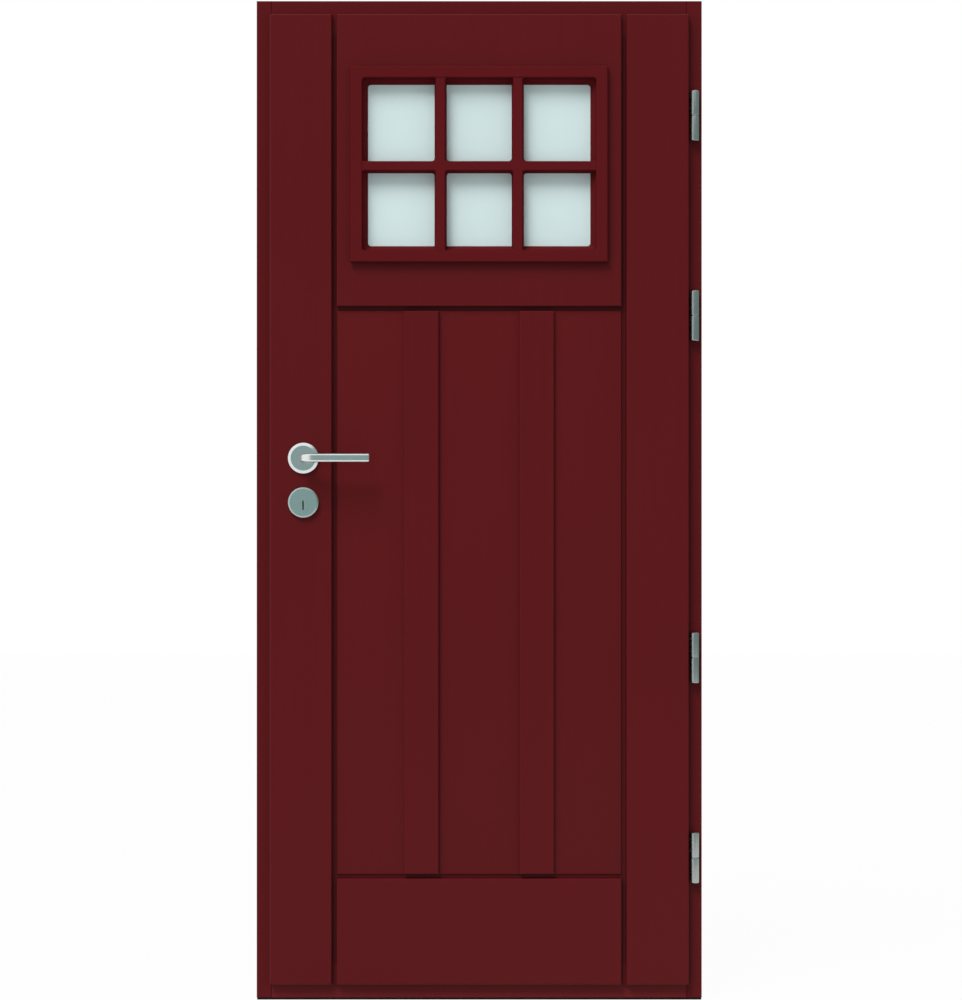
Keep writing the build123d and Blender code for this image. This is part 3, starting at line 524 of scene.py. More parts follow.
@dataclass(frozen=True)
class Rubber:
    """Matt extruded rubber with a chalky bloom."""

    colour: Colour
    sheen_level: float = 0.06
    bloom_scale: float = 45.0
    bloom_low: float = 0.8
    bloom_high: float = 1.25
    grit_scale: float = 1400.0
    grit_height: float = 0.03 * MM
    roughness: float = 0.65
    roughness_spread: float = 0.10

    def material(self, name: str) -> Material:
        """Make the material.

        Args:
            name: Name of the material.

        Returns:
            The new material.
        """
        graph = Graph(name)
        places = graph.places()
        bloom = graph.noise(places, self.bloom_scale)
        grit = graph.noise(places, self.grit_scale)
        shade = graph.ranged(bloom, self.bloom_low, self.bloom_high)
        gloss = graph.varied(grit, self.roughness_spread, self.roughness)
        graph.join(graph.tinted(self.colour, shade), graph.shader.inputs["Base Color"])
        graph.join(gloss, graph.shader.inputs["Roughness"])
        graph.set(Specular_IOR_Level=self.sheen_level)
        graph.bumps([(grit, self.grit_height)])
        return graph.material


@dataclass(frozen=True)
class Palette:
    """Colours of the door's finishes, linear."""

    leaf_paint: Colour = (0.104, 0.0074, 0.0092)
    casing_paint: Colour = (0.106, 0.0100, 0.0122)
    frame_paint: Colour = (0.099, 0.0066, 0.0084)
    # Lighter than the frame's paint: painted light for the floor's bounce into the leaf's shadow on the
    # threshold.
    threshold_paint_with_painted_light: Colour = (0.142, 0.0125, 0.0140)
    satin_glass: Colour = (0.70, 0.86, 0.86)
    clear_glass: Colour = (0.90, 0.96, 0.94)
    rubber: Colour = (0.010, 0.010, 0.011)
    furniture: Colour = (0.78, 0.83, 0.82)
    cover: Colour = (0.54, 0.68, 0.66)
    hinge: Colour = (0.43, 0.47, 0.45)
    # Near-black for the hinge studs: painted shade for the narrow gaps they sit in.
    painted_stud_shade: Colour = (0.018, 0.018, 0.018)
    lock: Colour = (0.56, 0.57, 0.55)
    screw: Colour = (0.60, 0.59, 0.53)
    spacer: Colour = (0.62, 0.63, 0.64)


PALETTE = Palette()


def dress(material: Material, *nodes: str) -> None:
    """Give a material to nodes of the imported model.

    Args:
        material: Material to give.
        nodes: Names of the nodes.
    """
    for node in nodes:
        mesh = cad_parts[node].data
        mesh.materials.clear()
        mesh.materials.append(material)
        log.info("%s dressed with %s", node, material.name)


def middle(node: str) -> Point:
    """Give the centre of a node's box."""
    low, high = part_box(node)
    return tuple((low + high) / 2)


def mesh_piece(name: str, mesh: Mesh, material: Material) -> Piece:
    """Turn a finished mesh into a piece of the scene.

    Args:
        name: Name of the piece.
        mesh: Mesh to use up.
        material: Material of the piece.

    Returns:
        The new piece.
    """
    bmesh.ops.recalc_face_normals(mesh, faces=mesh.faces)
    data = bpy.data.meshes.new(name)
    mesh.to_mesh(data)
    mesh.free()
    data.shade_smooth()
    data.set_sharp_from_angle(angle=SMOOTH_ANGLE)
    data.materials.append(material)
    piece = bpy.data.objects.new(name, data)
    bpy.context.scene.collection.objects.link(piece)
    return piece


def bridge(mesh: Mesh, first: list[Vert], second: list[Vert]) -> None:
    """Join two rings of as many points with a band of faces.

    Args:
        mesh: Mesh that holds the rings.
        first: Points of one ring, in order.
        second: Points of the other ring, in the same order.
    """
    count = len(first)
    for place in range(count):
        after = (place + 1) % count
        mesh.faces.new((first[place], first[after], second[after], second[place]))


def closed_edges(mesh: Mesh, ring: list[Vert]) -> list[bmesh.types.BMEdge]:
    """Give the edges round a ring of points, in order, and add those that are missing."""
    pairs = zip(ring, ring[1:] + ring[:1])
    return [mesh.edges.get(pair) or mesh.edges.new(pair) for pair in pairs]


def lathe(mesh: Mesh, place: Matrix, profile: Section, around: int = 48, slot: int = 0) -> None:
    """Add a closed round shape.

    Args:
        mesh: Mesh to add to.
        place: Where the axis starts, with +Z along it.
        profile: Radius and distance along the axis of each ring, in order from one flat end to the other.
        around: Number of points in a ring.
        slot: Place of its material in the piece.
    """
    turns = [math.tau * step / around for step in range(around)]
    rings = [
        [mesh.verts.new(place @ Vector((radius * math.cos(t), radius * math.sin(t), reach))) for t in turns]
        for radius, reach in profile
    ]
    for first, second in zip(rings, rings[1:]):
        bridge(mesh, first, second)
    mesh.faces.new(rings[0])
    mesh.faces.new(rings[-1])
    for point in (point for ring in rings for point in ring):
        for face in point.link_faces:
            face.material_index = slot


@dataclass
class DoorFrame:
    """Jambs, head rail, threshold and the strip under the sill."""

    uprights: tuple[str, ...] = ("hinge_jamb", "lock_jamb")

    def build(self) -> None:
        """Dress the frame's nodes."""
        dress(Paint(PALETTE.frame_paint, Grain.UPRIGHT).material("frame_paint_upright"), *self.uprights)
        dress(Paint(PALETTE.frame_paint, Grain.LEVEL).material("frame_paint_level"), "head_rail")
        # The threshold's lighter paint is painted light for the floor's bounce into the leaf's shadow.
        dress(Paint(PALETTE.threshold_paint_with_painted_light, Grain.LEVEL).material("threshold_paint_with_painted_light"), "threshold")
        dress(Rubber(PALETTE.rubber).material("sill_rubber"), "sill_seal")


@dataclass
class Gasket:
    """Rubber gasket round the stop: a bulb on a flange, with a barbed tail in the kerf."""

    node: str = "frame_gasket"
    half_width: float = 4.5 * MM
    bulb_height: float = 6.7 * MM
    flange: float = 1.2 * MM
    tail_depth: float = 5.6 * MM
    tail_half: float = 0.8 * MM
    barb_half: float = 1.25 * MM
    barb_count: int = 3
    barb_lead_share: float = 0.5
    barb_tip_share: float = 0.2
    barb_end_share: float = 0.8
    bulb_steps: int = 18

    def profile(self) -> Section:
        """Draw the section.

        Returns:
            Points as distance across the stop and height above it, in order round the section.
        """
        rise = self.bulb_height - self.flange
        bulb = [
            (self.half_width * math.cos(turn), self.flange + rise * math.sin(turn))
            for turn in (math.pi * step / self.bulb_steps for step in range(self.bulb_steps + 1))
        ]
        pitch = self.tail_depth / (self.barb_count + self.barb_lead_share)
        side = [(self.half_width, 0.0), (self.tail_half, 0.0)]
        for barb in range(self.barb_count):
            root = -pitch * (barb + self.barb_lead_share)
            side.append((self.tail_half, root))
            side.append((self.barb_half, root - pitch * self.barb_tip_share))
            side.append((self.tail_half, root - pitch * self.barb_end_share))
        side.append((self.tail_half, -self.tail_depth))
        return bulb + [(-across, height) for across, height in side] + list(reversed(side))

    def build(self) -> None:
        """Sweep the section round the four sides and put it in the node's place."""
        low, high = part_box(self.node)
        stop = low.y + self.bulb_height
        section = self.profile()
        mesh = bmesh.new()
        rings = []
        for side_x, side_z in ((-1, -1), (1, -1), (1, 1), (-1, 1)):
            corner_x = (high.x if side_x > 0 else low.x) - side_x * self.half_width
            corner_z = (high.z if side_z > 0 else low.z) - side_z * self.half_width
            rings.append(
                [
                    mesh.verts.new((corner_x + side_x * across, stop - height, corner_z + side_z * across))
                    for across, height in section
                ]
            )
        for ring, following in zip(rings, rings[1:] + rings[:1]):
            bridge(mesh, ring, following)
        piece = mesh_piece("gasket_bulb", mesh, Rubber(PALETTE.rubber).material("gasket_rubber"))
        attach(piece, "frame")
        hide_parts(self.node)
        log.info("%s built", piece.name)


@dataclass
class GroovedPanel:
    """Centre panel of the leaf, tongued all round, with a groove round each face."""

    node: str = "centre_panel"
    tongue_length: float = 13.8 * MM
    tongue_half: float = 9.8 * MM
    tongue_clearance: float = 0.2 * MM
    groove_depth: float = 3.0 * MM
    side_groove: float = 5.5 * MM
    end_groove: float = 9.0 * MM
    edge_radius: float = 1.0 * MM
    edge_segments: int = 3
    edge_profile: float = 0.5
    face_layers: tuple[int, ...] = (0, 4)
    body_layers: tuple[int, ...] = (1, 3)
    tongue_layer: int = 2
    face_columns: range = range(3, 4)
    face_rows: range = range(2, 3)
    body_columns: range = range(1, 6)
    body_rows: range = range(1, 4)
    side_tongue_columns: range = range(0, 7)
    end_tongue_columns: range = range(2, 5)
    end_tongue_rows: range = range(0, 5)
    flat_angle: float = math.radians(1)
    near: float = 0.01 * MM

    def steps(self) -> tuple[list[float], list[float], list[float]]:
        """Work out the planes that the panel's faces lie on.

        Returns:
            Places of the planes across, through and up the panel.
        """
        low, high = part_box(self.node)
        half = high.x - self.tongue_length
        bottom, top = low.z + self.tongue_length, high.z - self.tongue_length
        centre = (low.y + high.y) / 2
        sides = [half - self.side_groove, half - self.tongue_clearance, half, high.x]
        across = [-side for side in reversed(sides)] + sides
        through = [
            low.y,
            low.y + self.groove_depth,
            centre - self.tongue_half,
            centre + self.tongue_half,
            high.y - self.groove_depth,
            high.y,
        ]
        up = [low.z, bottom, bottom + self.end_groove, top - self.end_groove, top, high.z]
        return across, through, up

    def filled(self, column: int, layer: int, row: int) -> bool:
        """Tell whether a cell between the planes is wood.

        Args:
            column: Number of the cell across the panel.
            layer: Number of the cell through the panel.
            row: Number of the cell up the panel.

        Returns:
            True for wood.
        """
        if layer in self.face_layers:
            return column in self.face_columns and row in self.face_rows
        if layer in self.body_layers:
            return column in self.body_columns and row in self.body_rows
        if layer == self.tongue_layer:
            beside = column in self.side_tongue_columns and row in self.body_rows
            return beside or (column in self.end_tongue_columns and row in self.end_tongue_rows)
        return False

    def corners(self, cell: tuple[int, int, int], axis: int, side: int) -> list[tuple[int, int, int]]:
        """List the corners of one face of a cell.

        Args:
            cell: Numbers of the cell across, through and up.
            axis: Axis that the face looks along.
            side: 0 for the lower face, 1 for the upper.

        Returns:
            Numbers of the planes at each corner, in order.
        """
        first, second = [other for other in range(3) if other != axis]
        found = []
        for along, beside in ((0, 0), (1, 0), (1, 1), (0, 1)):
            corner = list(cell)
            corner[axis] += side
            corner[first] += along
            corner[second] += beside
            found.append(tuple(corner))
        return found

    def build(self, material: Material) -> None:
        """Build the panel and put it in the node's place.

        Args:
            material: Paint of the leaf.
        """
        planes = self.steps()
        mesh = bmesh.new()
        verts: dict[tuple[int, int, int], Vert] = {}
        counts = [len(places) - 1 for places in planes]
        cells = [(x, y, z) for x in range(counts[0]) for y in range(counts[1]) for z in range(counts[2])]
        for cell in (cell for cell in cells if self.filled(*cell)):
            for axis in range(3):
                for side, step in ((0, -1), (1, 1)):
                    beside = list(cell)
                    beside[axis] += step
                    if self.filled(*beside):
                        continue
                    ring = self.corners(cell, axis, side)
                    for corner in ring:
                        if corner not in verts:
                            verts[corner] = mesh.verts.new([planes[way][corner[way]] for way in range(3)])
                    mesh.faces.new([verts[corner] for corner in ring])
        bmesh.ops.recalc_face_normals(mesh, faces=mesh.faces)
        bmesh.ops.dissolve_limit(mesh, angle_limit=self.flat_angle, verts=mesh.verts, edges=mesh.edges)
        outer = (planes[1][0], planes[1][-1])
        rims = [
            edge
            for edge in mesh.edges
            if any(all(abs(vert.co.y - level) < self.near for vert in edge.verts) for level in outer)
        ]
        bmesh.ops.bevel(
            mesh,
            geom=rims,
            offset=self.edge_radius,
            segments=self.edge_segments,
            profile=self.edge_profile,
            affect="EDGES",
        )
        piece = mesh_piece("grooved_panel", mesh, material)
        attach(piece, "leaf")
        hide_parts(self.node)
        log.info("%s built", piece.name)


@dataclass
class Leaf:
    """Stiles, boards, panel and battens of the leaf."""

    upright: tuple[str, ...] = (
        "lock_stile",
        "hinge_stile",
        "window_board",
        "bottom_board",
        "outer_left_batten",
        "outer_right_batten",
        "inner_left_batten",
        "inner_right_batten",
    )
    groove_depth: float = 12.0 * MM
    groove_start: float = 9.4 * MM
    # Margin along the leaf's edges kept free of the painted shade in the grooves.
    unshaded_margin: float = 40.0 * MM

    def grooves(self) -> Grooves:
        """Describe where the grooves lie, from the box of a stile.

        Returns:
            The grooves.
        """
        low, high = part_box("lock_stile")
        thickness = high.y - low.y
        return Grooves(
            leaf_middle=(low.y + high.y) / 2,
            floor_half=thickness / 2 - self.groove_depth,
            start_half=thickness / 2 - self.groove_start,
            half_width=-low.x - self.unshaded_margin,
            middle_height=(low.z + high.z) / 2,
            half_height=(high.z - low.z) / 2 - self.unshaded_margin,
        )

    def build(self) -> None:
        """Dress the leaf's nodes and build the panel."""
        # The leaf's paint carries painted shade on the groove floors.
        paint = Paint(PALETTE.leaf_paint, Grain.UPRIGHT, grooves=self.grooves()).material("leaf_paint")
        dress(paint, *self.upright)
        GroovedPanel().build(paint)


@dataclass
class Window:
    """Casings, glazing bars, panes and what seals them."""

    casing_sheen: float = 0.0

    def build(self) -> None:
        """Dress the window's nodes."""
        smooth = Paint(PALETTE.casing_paint, sheen_level=self.casing_sheen).material("casing_paint")
        dress(smooth, "outer_casing", "inner_casing", "outer_bars", "inner_bars")
        dress(SatinGlass(PALETTE.satin_glass).material("satin_glass"), "outer_pane")
        dress(ClearGlass(PALETTE.clear_glass).material("clear_glass"), "middle_pane", "inner_pane")
        dress(PlatedSteel(PALETTE.spacer).material("spacer_metal"), "outer_spacer", "inner_spacer")
        rubber = Rubber(PALETTE.rubber).material("glazing_rubber")
        dress(rubber, "outer_glazing_tape", "inner_glazing_tape", "setting_blocks")


@dataclass
class Furniture:
    """Levers, rosettes, cylinder and thumb turn."""

    polished: tuple[str, ...] = ("outer_rosette", "inner_rosette", "thumb_turn")
    blasted: tuple[str, ...] = ("cylinder_housing", "turn_rosette", "key_plug")
    long: tuple[str, ...] = ("outer_lever", "inner_lever")
    blasted_roughness: float = 0.46

    def build(self) -> None:
        """Dress the furniture's nodes."""
        for node in self.polished:
            finish = BrushedMetal(PALETTE.furniture, Brushing.AROUND_Y, middle(node))
            dress(finish.material(f"{node}_steel"), node)
        for node in self.blasted:
            finish = BrushedMetal(PALETTE.cover, Brushing.AROUND_Y, middle(node), self.blasted_roughness)
            dress(finish.material(f"{node}_steel"), node)
        dress(BrushedMetal(PALETTE.furniture, Brushing.ALONG_X).material("lever_steel"), *self.long)


@dataclass
class Knuckle:
    """One half of a hinge: a bored barrel with rounded rims, and two studs."""

    node: str
    body: str
    joint: Point
    length: float
    points_up: bool
    stud_way: Point
    stud_end: float
    radius: float = 9.0 * MM
    outer_rim: float = 2.0 * MM
    joint_rim: float = 1.6 * MM
    rim_steps: int = 6
    bore: float = 4.55 * MM
    bore_depth: float = 40.5 * MM
    stud_radius: float = 4.0 * MM
    stud_start: float = 6.0 * MM
    stud_tip: float = 1.5 * MM
    stud_points: int = 24
    stud_slot: int = 1
    stud_reaches: tuple[float, float] = (13.81 * MM, 39.25 * MM)

    def rim(self, size: float) -> Section:
        """Draw a rounded rim as radius and distance from the end, from the barrel's side to its end."""
        turns = [math.pi / 2 * step / self.rim_steps for step in range(self.rim_steps + 1)]
        return [(self.radius - size + size * math.cos(t), size - size * math.sin(t)) for t in turns]

    def add_barrel(self, mesh: Mesh) -> None:
        """Add the bored barrel.

        Args:
            mesh: Mesh to add to.
        """
        outer = [(radius, self.length - reach) for radius, reach in reversed(self.rim(self.outer_rim))]
        bored = [(self.bore, 0.0), (self.bore, self.bore_depth)]
        tilt = Matrix.Rotation(0.0 if self.points_up else math.pi, 4, "X")
        lathe(mesh, Matrix.Translation(self.joint) @ tilt, outer + self.rim(self.joint_rim) + bored)

    def add_studs(self, mesh: Mesh) -> None:
        """Add the studs.

        Args:
            mesh: Mesh to add to.
        """
        profile = [
            (self.stud_radius, self.stud_start),
            (self.stud_radius, self.stud_end - self.stud_tip),
            (self.stud_radius - self.stud_tip, self.stud_end),
        ]
        turn = Vector(self.stud_way).to_track_quat("Z", "Y").to_matrix().to_4x4()
        for reach in self.stud_reaches:
            height = reach if self.points_up else -reach
            place = Matrix.Translation(Vector(self.joint) + Vector((0.0, 0.0, height)))
            lathe(mesh, place @ turn, profile, around=self.stud_points, slot=self.stud_slot)

    def build(self, barrel: Material, stud: Material) -> None:
        """Build the half and put it in the node's place.

        Args:
            barrel: Material of the barrel.
            stud: Material of the studs.
        """
        mesh = bmesh.new()
        self.add_barrel(mesh)
        self.add_studs(mesh)
        piece = mesh_piece(f"{self.node}_rounded", mesh, barrel)
        piece.data.materials.append(stud)
        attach(piece, self.body)
        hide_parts(self.node)
        log.info("%s built", piece.name)


@dataclass
class Hinges:
    """Knuckles, pins and washers of the four hinges, with studs darkened as painted shade."""

    count: int = 4
    roughness: float = 0.36
    stud_roughness: float = 0.7
    frame_stud_way: Point = (0.0, 1.0, 0.0)
    leaf_stud_way: Point = (-1.0, 0.0, 0.0)

    def knuckles(self, number: int) -> tuple[Knuckle, Knuckle]:
        """Describe the halves of one hinge, from the boxes of its nodes.

        Args:
            number: Number of the hinge, from the lowest.

        Returns:
            The half on the frame and the half on the leaf.
        """
        frame_node = f"hinge_{number}_frame_knuckle"
        leaf_node = f"hinge_{number}_leaf_knuckle"
        low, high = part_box(frame_node)
        leaf_low, leaf_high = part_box(leaf_node)
        x = (low.x + high.x) / 2
        y = (leaf_low.y + leaf_high.y) / 2
        length = high.z - low.z
        below = Knuckle(
            frame_node,
            "frame",
            joint=(x, y, high.z),
            length=length,
            points_up=False,
            stud_way=self.frame_stud_way,
            stud_end=high.y - y,
        )
        above = Knuckle(
            leaf_node,
            "leaf",
            joint=(x, y, leaf_low.z),
            length=length,
            points_up=True,
            stud_way=self.leaf_stud_way,
            stud_end=x - leaf_low.x,
        )
        return below, above

    def build(self) -> None:
        """Build the knuckles and dress the pins and washers."""
        finish = BrushedMetal(PALETTE.hinge, Brushing.AROUND_Z, roughness=self.roughness)
        steel = finish.material("hinge_steel")
        # The studs get near-black steel: painted shade for the narrow gaps beside the barrels.
        black = PlatedSteel(PALETTE.painted_stud_shade, self.stud_roughness).material("stud_painted_shade")
        for number in range(1, self.count + 1):
            for knuckle in self.knuckles(number):
                knuckle.build(steel, black)
        dress(steel, "hinge_pins", "hinge_washers")


@dataclass
class Lock:
    """Lock case, bolts, forend and strike plate."""

    nodes: tuple[str, ...] = (
        "lock_case",
        "lock_cover",
        "lock_forend",
        "strike_plate",
        "latch_bolt",
        "dead_bolt",
        "follower",
        "spindle",
        "bolt_cam",
    )

    def build(self) -> None:
        """Dress the lock's nodes."""
        dress(PlatedSteel(PALETTE.lock).material("lock_steel"), *self.nodes)


@dataclass
class ScrewGroup:
    """Countersunk screws of one node, with cross recesses and threaded shanks."""

    node: str
    body: str
    seats: list[tuple[Point, Drive]]
    head_radius: float
    shank_radius: float
    length: float
    around: int = 24
    pitch: float = 1.8 * MM
    rings_in_pitch: int = 4
    rim_share: float = 0.95
    core_share: float = 0.78
    crest_share: float = 0.98
    tip_share: float = 0.12
    threaded_share: float = 0.88
    arm_share: float = 0.58
    waist_share: float = 0.15
    recess_taper_share: float = 0.55
    recess_depth_share: float = 0.85
    roughness: float = 0.3

    def recess(self, place: Matrix, share: float, depth: float) -> list[Vector]:
        """Draw the outline of the cross recess.

        Args:
            place: Where the head's top is, with +Z along the drive.
            share: Size of the outline, against that at the head's top.
            depth: Distance below the head's top.

        Returns:
            The corners, in order.
        """
        arm = self.head_radius * self.arm_share * share
        waist = self.head_radius * self.waist_share * share
        corners = []
        for quarter in range(4):
            turn = Matrix.Rotation(quarter * math.pi / 2, 4, "Z")
            for x, y in ((arm, -waist), (arm, waist), (waist, waist)):
                corners.append(place @ turn @ Vector((x, y, depth)))
        return corners

    def thread_radius(self, turn: float, depth: float) -> float:
        """Give the radius of the thread.

        Args:
            turn: Angle round the shank, in radians.
            depth: Distance below the head's top.

        Returns:
            The radius at that angle and depth.
        """
        phase = (depth / self.pitch - turn / math.tau) % 1.0
        rise = 1.0 - abs(2.0 * phase - 1.0)
        return self.shank_radius * (self.core_share + (self.crest_share - self.core_share) * rise)

    def ring(self, mesh: Mesh, place: Matrix, depth: float, radius: float | None = None) -> list[Vert]:
        """Add a ring of points round the screw's axis.

        Args:
            mesh: Mesh to add to.
            place: Where the head's top is, with +Z along the drive.
            depth: Distance below the head's top.
            radius: Radius of the ring, or none for that of the thread.

        Returns:
            The points, in order.
        """
        points = []
        for step in range(self.around):
            turn = math.tau * step / self.around
            reach = self.thread_radius(turn, depth) if radius is None else radius
            point = Vector((reach * math.cos(turn), reach * math.sin(turn), depth))
            points.append(mesh.verts.new(place @ point))
        return points

    def add_head(self, mesh: Mesh, place: Matrix, depth: float) -> list[Vert]:
        """Add the countersunk head with its recess.

        Args:
            mesh: Mesh to add to.
            place: Where the head's top is, with +Z along the drive.
            depth: Depth of the head.

        Returns:
            The ring of points where the shank starts.
        """
        rim = self.ring(mesh, place, 0.0, self.head_radius * self.rim_share)
        edge = self.ring(mesh, place, self.head_radius * (1.0 - self.rim_share), self.head_radius)
        neck = self.ring(mesh, place, depth, self.shank_radius)
        bridge(mesh, rim, edge)
        bridge(mesh, edge, neck)
        mouth = [mesh.verts.new(point) for point in self.recess(place, 1.0, 0.0)]
        sunk = depth * self.recess_depth_share
        floor = [mesh.verts.new(point) for point in self.recess(place, self.recess_taper_share, sunk)]
        top = closed_edges(mesh, rim) + closed_edges(mesh, mouth)
        bmesh.ops.triangle_fill(mesh, use_beauty=True, edges=top)
        bridge(mesh, mouth, floor)
        mesh.faces.new(floor)
        return neck

    def add_screw(self, mesh: Mesh, place: Matrix) -> None:
        """Add one screw to the mesh.

        Args:
            mesh: Mesh to add to.
            place: Where the head's top is, with +Z along the drive.
        """
        head_depth = self.head_radius - self.shank_radius
        previous = self.add_head(mesh, place, head_depth)
        run = (self.length - head_depth) * self.threaded_share
        count = round(run / self.pitch * self.rings_in_pitch)
        for step in range(1, count + 1):
            following = self.ring(mesh, place, head_depth + run * step / count)
            bridge(mesh, previous, following)
            previous = following
        tip = self.ring(mesh, place, self.length, self.shank_radius * self.tip_share)
        bridge(mesh, previous, tip)
        mesh.faces.new(tip)

    def build(self) -> None:
        """Build the screws and put them in the node's place."""
        mesh = bmesh.new()
        for seat, drive in self.seats:
            turn = Vector(drive.value).to_track_quat("Z", "Y").to_matrix().to_4x4()
            self.add_screw(mesh, Matrix.Translation(seat) @ turn)
        material = PlatedSteel(PALETTE.screw, self.roughness).material(f"{self.node}_zinc")
        piece = mesh_piece(f"{self.node}_threaded", mesh, material)
        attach(piece, self.body)
        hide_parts(self.node)
        log.info("%s built", piece.name)


@dataclass
class Screws:
    """Sizes of the two kinds of screw, and where each group sits."""

    small_head: float = 4.5 * MM
    small_shank: float = 2.25 * MM
    large_head: float = 6.0 * MM
    large_shank: float = 3.0 * MM
    large_pitch: float = 2.4 * MM
    large_length: float = 80.0 * MM

    def small_group(
        self,
        node: str,
        body: str,
        seats: list[Point],
        drive: Drive,
        length: float,
    ) -> ScrewGroup:
        """Describe small screws that are driven the same way, from the centres of their heads' tops."""
        placed = [(seat, drive) for seat in seats]
        return ScrewGroup(node, body, placed, self.small_head, self.small_shank, length)

    def casing_group(self) -> ScrewGroup:
        """Describe the screws through the inner casing, at its corners and the middles of its sides.

        Returns:
            The group.
        """
        low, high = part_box("casing_screws")
        xs = (low.x + self.small_head, (low.x + high.x) / 2, high.x - self.small_head)
        zs = (low.z + self.small_head, (low.z + high.z) / 2, high.z - self.small_head)
        seats = [(x, high.y, z) for x in xs for z in zs if (x, z) != (xs[1], zs[1])]
        return self.small_group("casing_screws", "leaf", seats, Drive.INTO_MINUS_Y, high.y - low.y)

    def strike_group(self) -> ScrewGroup:
        """Describe the three screws of the strike plate.

        Returns:
            The group.
        """
        low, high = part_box("strike_screws")
        zs = (low.z + self.small_head, (low.z + high.z) / 2, high.z - self.small_head)
        seats = [(high.x, (low.y + high.y) / 2, z) for z in zs]
        return self.small_group("strike_screws", "frame", seats, Drive.INTO_MINUS_X, high.x - low.x)

    def forend_group(self) -> ScrewGroup:
        """Describe the two screws of the lock's forend.

        Returns:
            The group.
        """
        low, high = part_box("forend_screws")
        zs = (low.z + self.small_head, high.z - self.small_head)
        seats = [(low.x, (low.y + high.y) / 2, z) for z in zs]
        return self.small_group("forend_screws", "leaf", seats, Drive.INTO_PLUS_X, high.x - low.x)

    def frame_group(self) -> ScrewGroup:
        """Describe the long screws that hold the frame's corners, driven in from both sides.

        Returns:
            The group.
        """
        low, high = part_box("frame_screws")
        sides = ((low.x, Drive.INTO_PLUS_X), (high.x, Drive.INTO_MINUS_X))
        ys = (low.y + self.large_head, high.y - self.large_head)
        zs = (low.z + self.large_head, high.z - self.large_head)
        seats = [((x, y, z), drive) for x, drive in sides for y in ys for z in zs]
        return ScrewGroup(
            "frame_screws",
            "frame",
            seats,
            self.large_head,
            self.large_shank,
            self.large_length,
            pitch=self.large_pitch,
        )

    def build(self) -> None:
        """Build every group."""
        for group in (self.casing_group(), self.strike_group(), self.forend_group(), self.frame_group()):
            group.build()


def stage_plane(name: str, corners: list[Point], material: Material) -> Piece:
    """Add a flat piece of the studio.

    Args:
        name: Name of the piece.
        corners: Its four corners, in order.
        material: Its material.

    Returns:
        The new piece.
    """
    data = bpy.data.meshes.new(name)
    data.from_pydata(corners, [], [(0, 1, 2, 3)])
    data.materials.append(material)
    piece = bpy.data.objects.new(name, data)
    bpy.context.scene.collection.objects.link(piece)
    return piece


@dataclass
class Lamp:
    """Distant lamp with a soft edge."""

    name: str
    towards: Point
    share: float
    spread: float
    least_facing: float = 0.05

    def build(self, facing: Point) -> None:
        """Hang the lamp.

        Args:
            facing: Direction that the lit side of the door looks to.
        """
        towards = Vector(self.towards).normalized()
        lamp = bpy.data.lights.new(self.name, "SUN")
        lamp.angle = math.radians(self.spread)
        lamp.energy = self.share * math.pi / max(towards.dot(Vector(facing)), self.least_facing)
        holder = bpy.data.objects.new(self.name, lamp)
        holder.rotation_euler = towards.to_track_quat("Z", "Y").to_euler()
        holder.visible_glossy = False
        bpy.context.scene.collection.objects.link(holder)


@dataclass
class Card:
    """Upright grey card that only reflections show, so that bright metal has something dark to mirror."""

    name: str
    start: tuple[float, float]
    end: tuple[float, float]
    foot: float
    top: float
    colour: Colour = (0.262, 0.36, 0.355)

    def build(self) -> None:
        """Stand the card on the line from its start to its end."""
        material = bpy.data.materials.new(self.name)
        material.use_nodes = True
        tree = material.node_tree
        tree.nodes.clear()
        output = tree.nodes.new("ShaderNodeOutputMaterial")
        glow = tree.nodes.new("ShaderNodeEmission")
        glow.inputs["Color"].default_value = (*self.colour, 1.0)
        tree.links.new(glow.outputs["Emission"], output.inputs["Surface"])
        lower = [(*self.start, self.foot), (*self.end, self.foot)]
        upper = [(*self.end, self.top), (*self.start, self.top)]
        card = stage_plane(self.name, lower + upper, material)
        card.visible_camera = False
        card.visible_diffuse = False
        card.visible_transmission = False
        card.visible_shadow = False


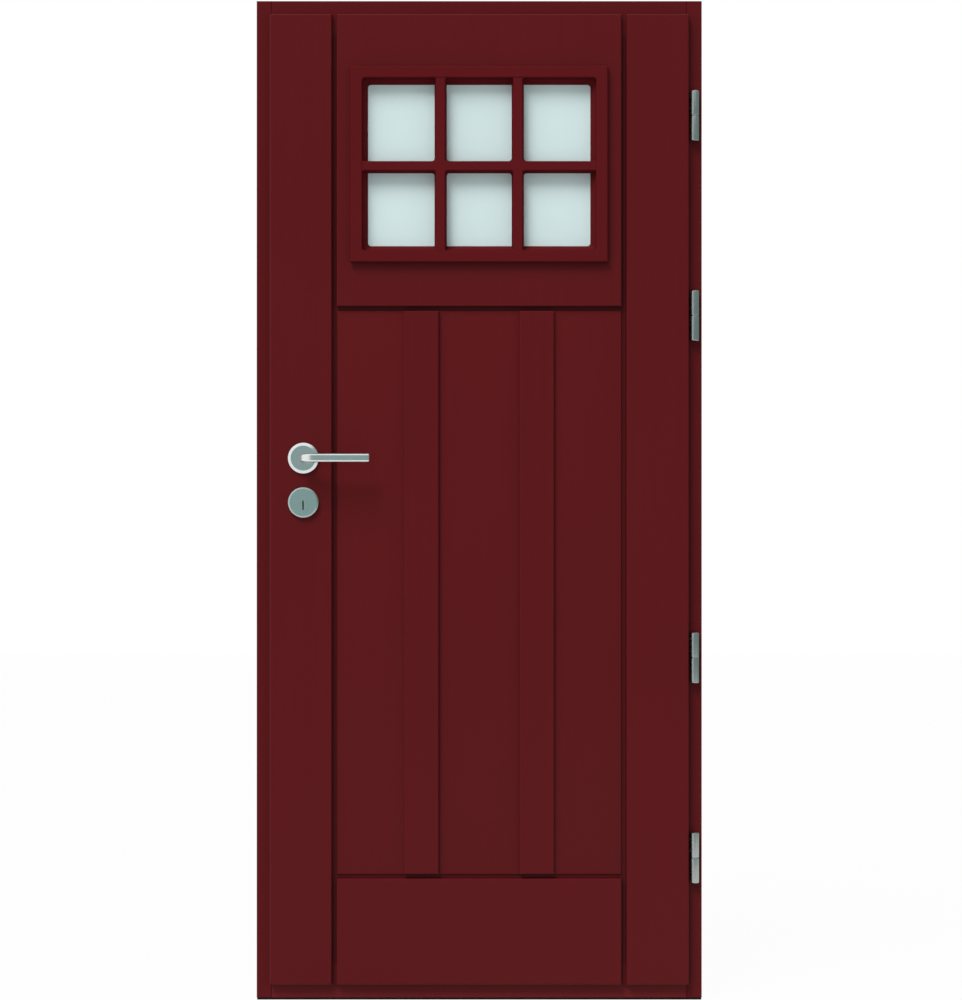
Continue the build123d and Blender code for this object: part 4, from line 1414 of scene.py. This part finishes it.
@dataclass
class Studio:
    """Camera, lamps, cards, background and floor."""

    camera_place: Point = (0.0038, -5.4575, 1.0642)
    lens: float = 91.28
    sensor: float = 36.0
    ambient: float = 0.24
    lamps: tuple[Lamp, ...] = (
        Lamp("key_lamp", (-0.6, -1.0, 1.5), 0.45, 28.0),
        Lamp("left_fill", (-0.5, -1.0, 0.1), 0.06, 60.0),
        Lamp("right_fill", (0.7, -1.0, 0.1), 0.06, 60.0),
        Lamp("left_lamp", (-1.0, -0.4, 0.25), 0.04, 30.0),
        Lamp("right_lamp", (1.0, -0.4, 0.15), 0.03, 30.0),
    )
    back_lamps: tuple[Lamp, ...] = (
        Lamp("back_lamp", (0.35, 1.0, 0.5), 0.42, 28.0),
        Lamp("back_fill", (-0.6, 1.0, 0.1), 0.20, 60.0),
    )
    cards: tuple[Card, ...] = (
        Card("front_card", (-2.4, -3.0), (2.4, -3.0), -0.5, 2.9),
        Card("back_card", (-2.4, 3.0), (2.4, 3.0), -0.5, 2.9),
        Card("right_card", (3.0, -4.0), (3.0, 6.0), 0.1, 6.0),
    )
    front: Point = (0.0, -1.0, 0.0)
    back: Point = (0.0, 1.0, 0.0)
    floor_half: float = 12.0
    floor_drop: float = 0.2 * MM
    floor_grey: float = 0.48
    floor_white_share: float = 0.97

    def build_camera(self) -> None:
        """Set up the camera where the photographer stood."""
        data = bpy.data.cameras.new("camera")
        data.lens = self.lens
        data.sensor_width = self.sensor
        holder = bpy.data.objects.new("camera", data)
        holder.location = self.camera_place
        holder.rotation_euler = (math.pi / 2, 0.0, 0.0)
        bpy.context.scene.collection.objects.link(holder)
        bpy.context.scene.camera = holder

    def seen_directly(self, tree: bpy.types.NodeTree) -> Socket:
        """Tell the rays that show the background from those that only carry its light.

        Args:
            tree: Node tree to work in.

        Returns:
            1 for camera, glossy and transmission rays, and 0 for others.
        """
        path = tree.nodes.new("ShaderNodeLightPath")
        value = path.outputs["Is Camera Ray"]
        for name in ("Is Glossy Ray", "Is Transmission Ray"):
            larger = tree.nodes.new("ShaderNodeMath")
            larger.operation = "MAXIMUM"
            tree.links.new(value, larger.inputs[0])
            tree.links.new(path.outputs[name], larger.inputs[1])
            value = larger.outputs["Value"]
        return value

    def build_background(self) -> None:
        """Make a white surround that lights the door at a plain level."""
        world = bpy.data.worlds.new("surround")
        bpy.context.scene.world = world
        world.use_nodes = True
        tree = world.node_tree
        background = tree.nodes["Background"]
        background.inputs["Color"].default_value = (1.0, 1.0, 1.0, 1.0)
        level = tree.nodes.new("ShaderNodeMapRange")
        level.inputs["To Min"].default_value = self.ambient
        level.inputs["To Max"].default_value = 1.0
        tree.links.new(self.seen_directly(tree), level.inputs["Value"])
        tree.links.new(level.outputs["Result"], background.inputs["Strength"])

    def build_floor(self) -> None:
        """Lay a white floor that keeps a trace of the door's shadow."""
        material = bpy.data.materials.new("floor_white")
        material.use_nodes = True
        tree = material.node_tree
        tree.nodes.clear()
        output = tree.nodes.new("ShaderNodeOutputMaterial")
        matt = tree.nodes.new("ShaderNodeBsdfDiffuse")
        matt.inputs["Color"].default_value = (self.floor_grey, self.floor_grey, self.floor_grey, 1.0)
        white = tree.nodes.new("ShaderNodeEmission")
        mixed = tree.nodes.new("ShaderNodeMixShader")
        share = tree.nodes.new("ShaderNodeMath")
        share.operation = "MULTIPLY"
        share.inputs[1].default_value = self.floor_white_share
        tree.links.new(self.seen_directly(tree), share.inputs[0])
        tree.links.new(share.outputs["Value"], mixed.inputs["Fac"])
        tree.links.new(matt.outputs["BSDF"], mixed.inputs[1])
        tree.links.new(white.outputs["Emission"], mixed.inputs[2])
        tree.links.new(mixed.outputs["Shader"], output.inputs["Surface"])
        half = self.floor_half
        sides = ((-half, -half), (half, -half), (half, half), (-half, half))
        stage_plane("floor", [(x, y, -self.floor_drop) for x, y in sides], material)

    def build(self) -> None:
        """Set up everything round the door."""
        self.build_camera()
        self.build_background()
        self.build_floor()
        for card in self.cards:
            card.build()
        for lamp in self.lamps:
            lamp.build(self.front)
        for lamp in self.back_lamps:
            lamp.build(self.back)
        bpy.context.scene.view_settings.view_transform = "Standard"


def main() -> None:
    """Build every part of the scene in order."""
    logging.basicConfig(level=logging.INFO, format="%(name)s: %(message)s")
    for part in (DoorFrame(), Gasket(), Leaf(), Window(), Furniture(), Hinges(), Lock(), Screws()):
        part.build()
    Studio().build()


if __name__ == "__main__":
    main()
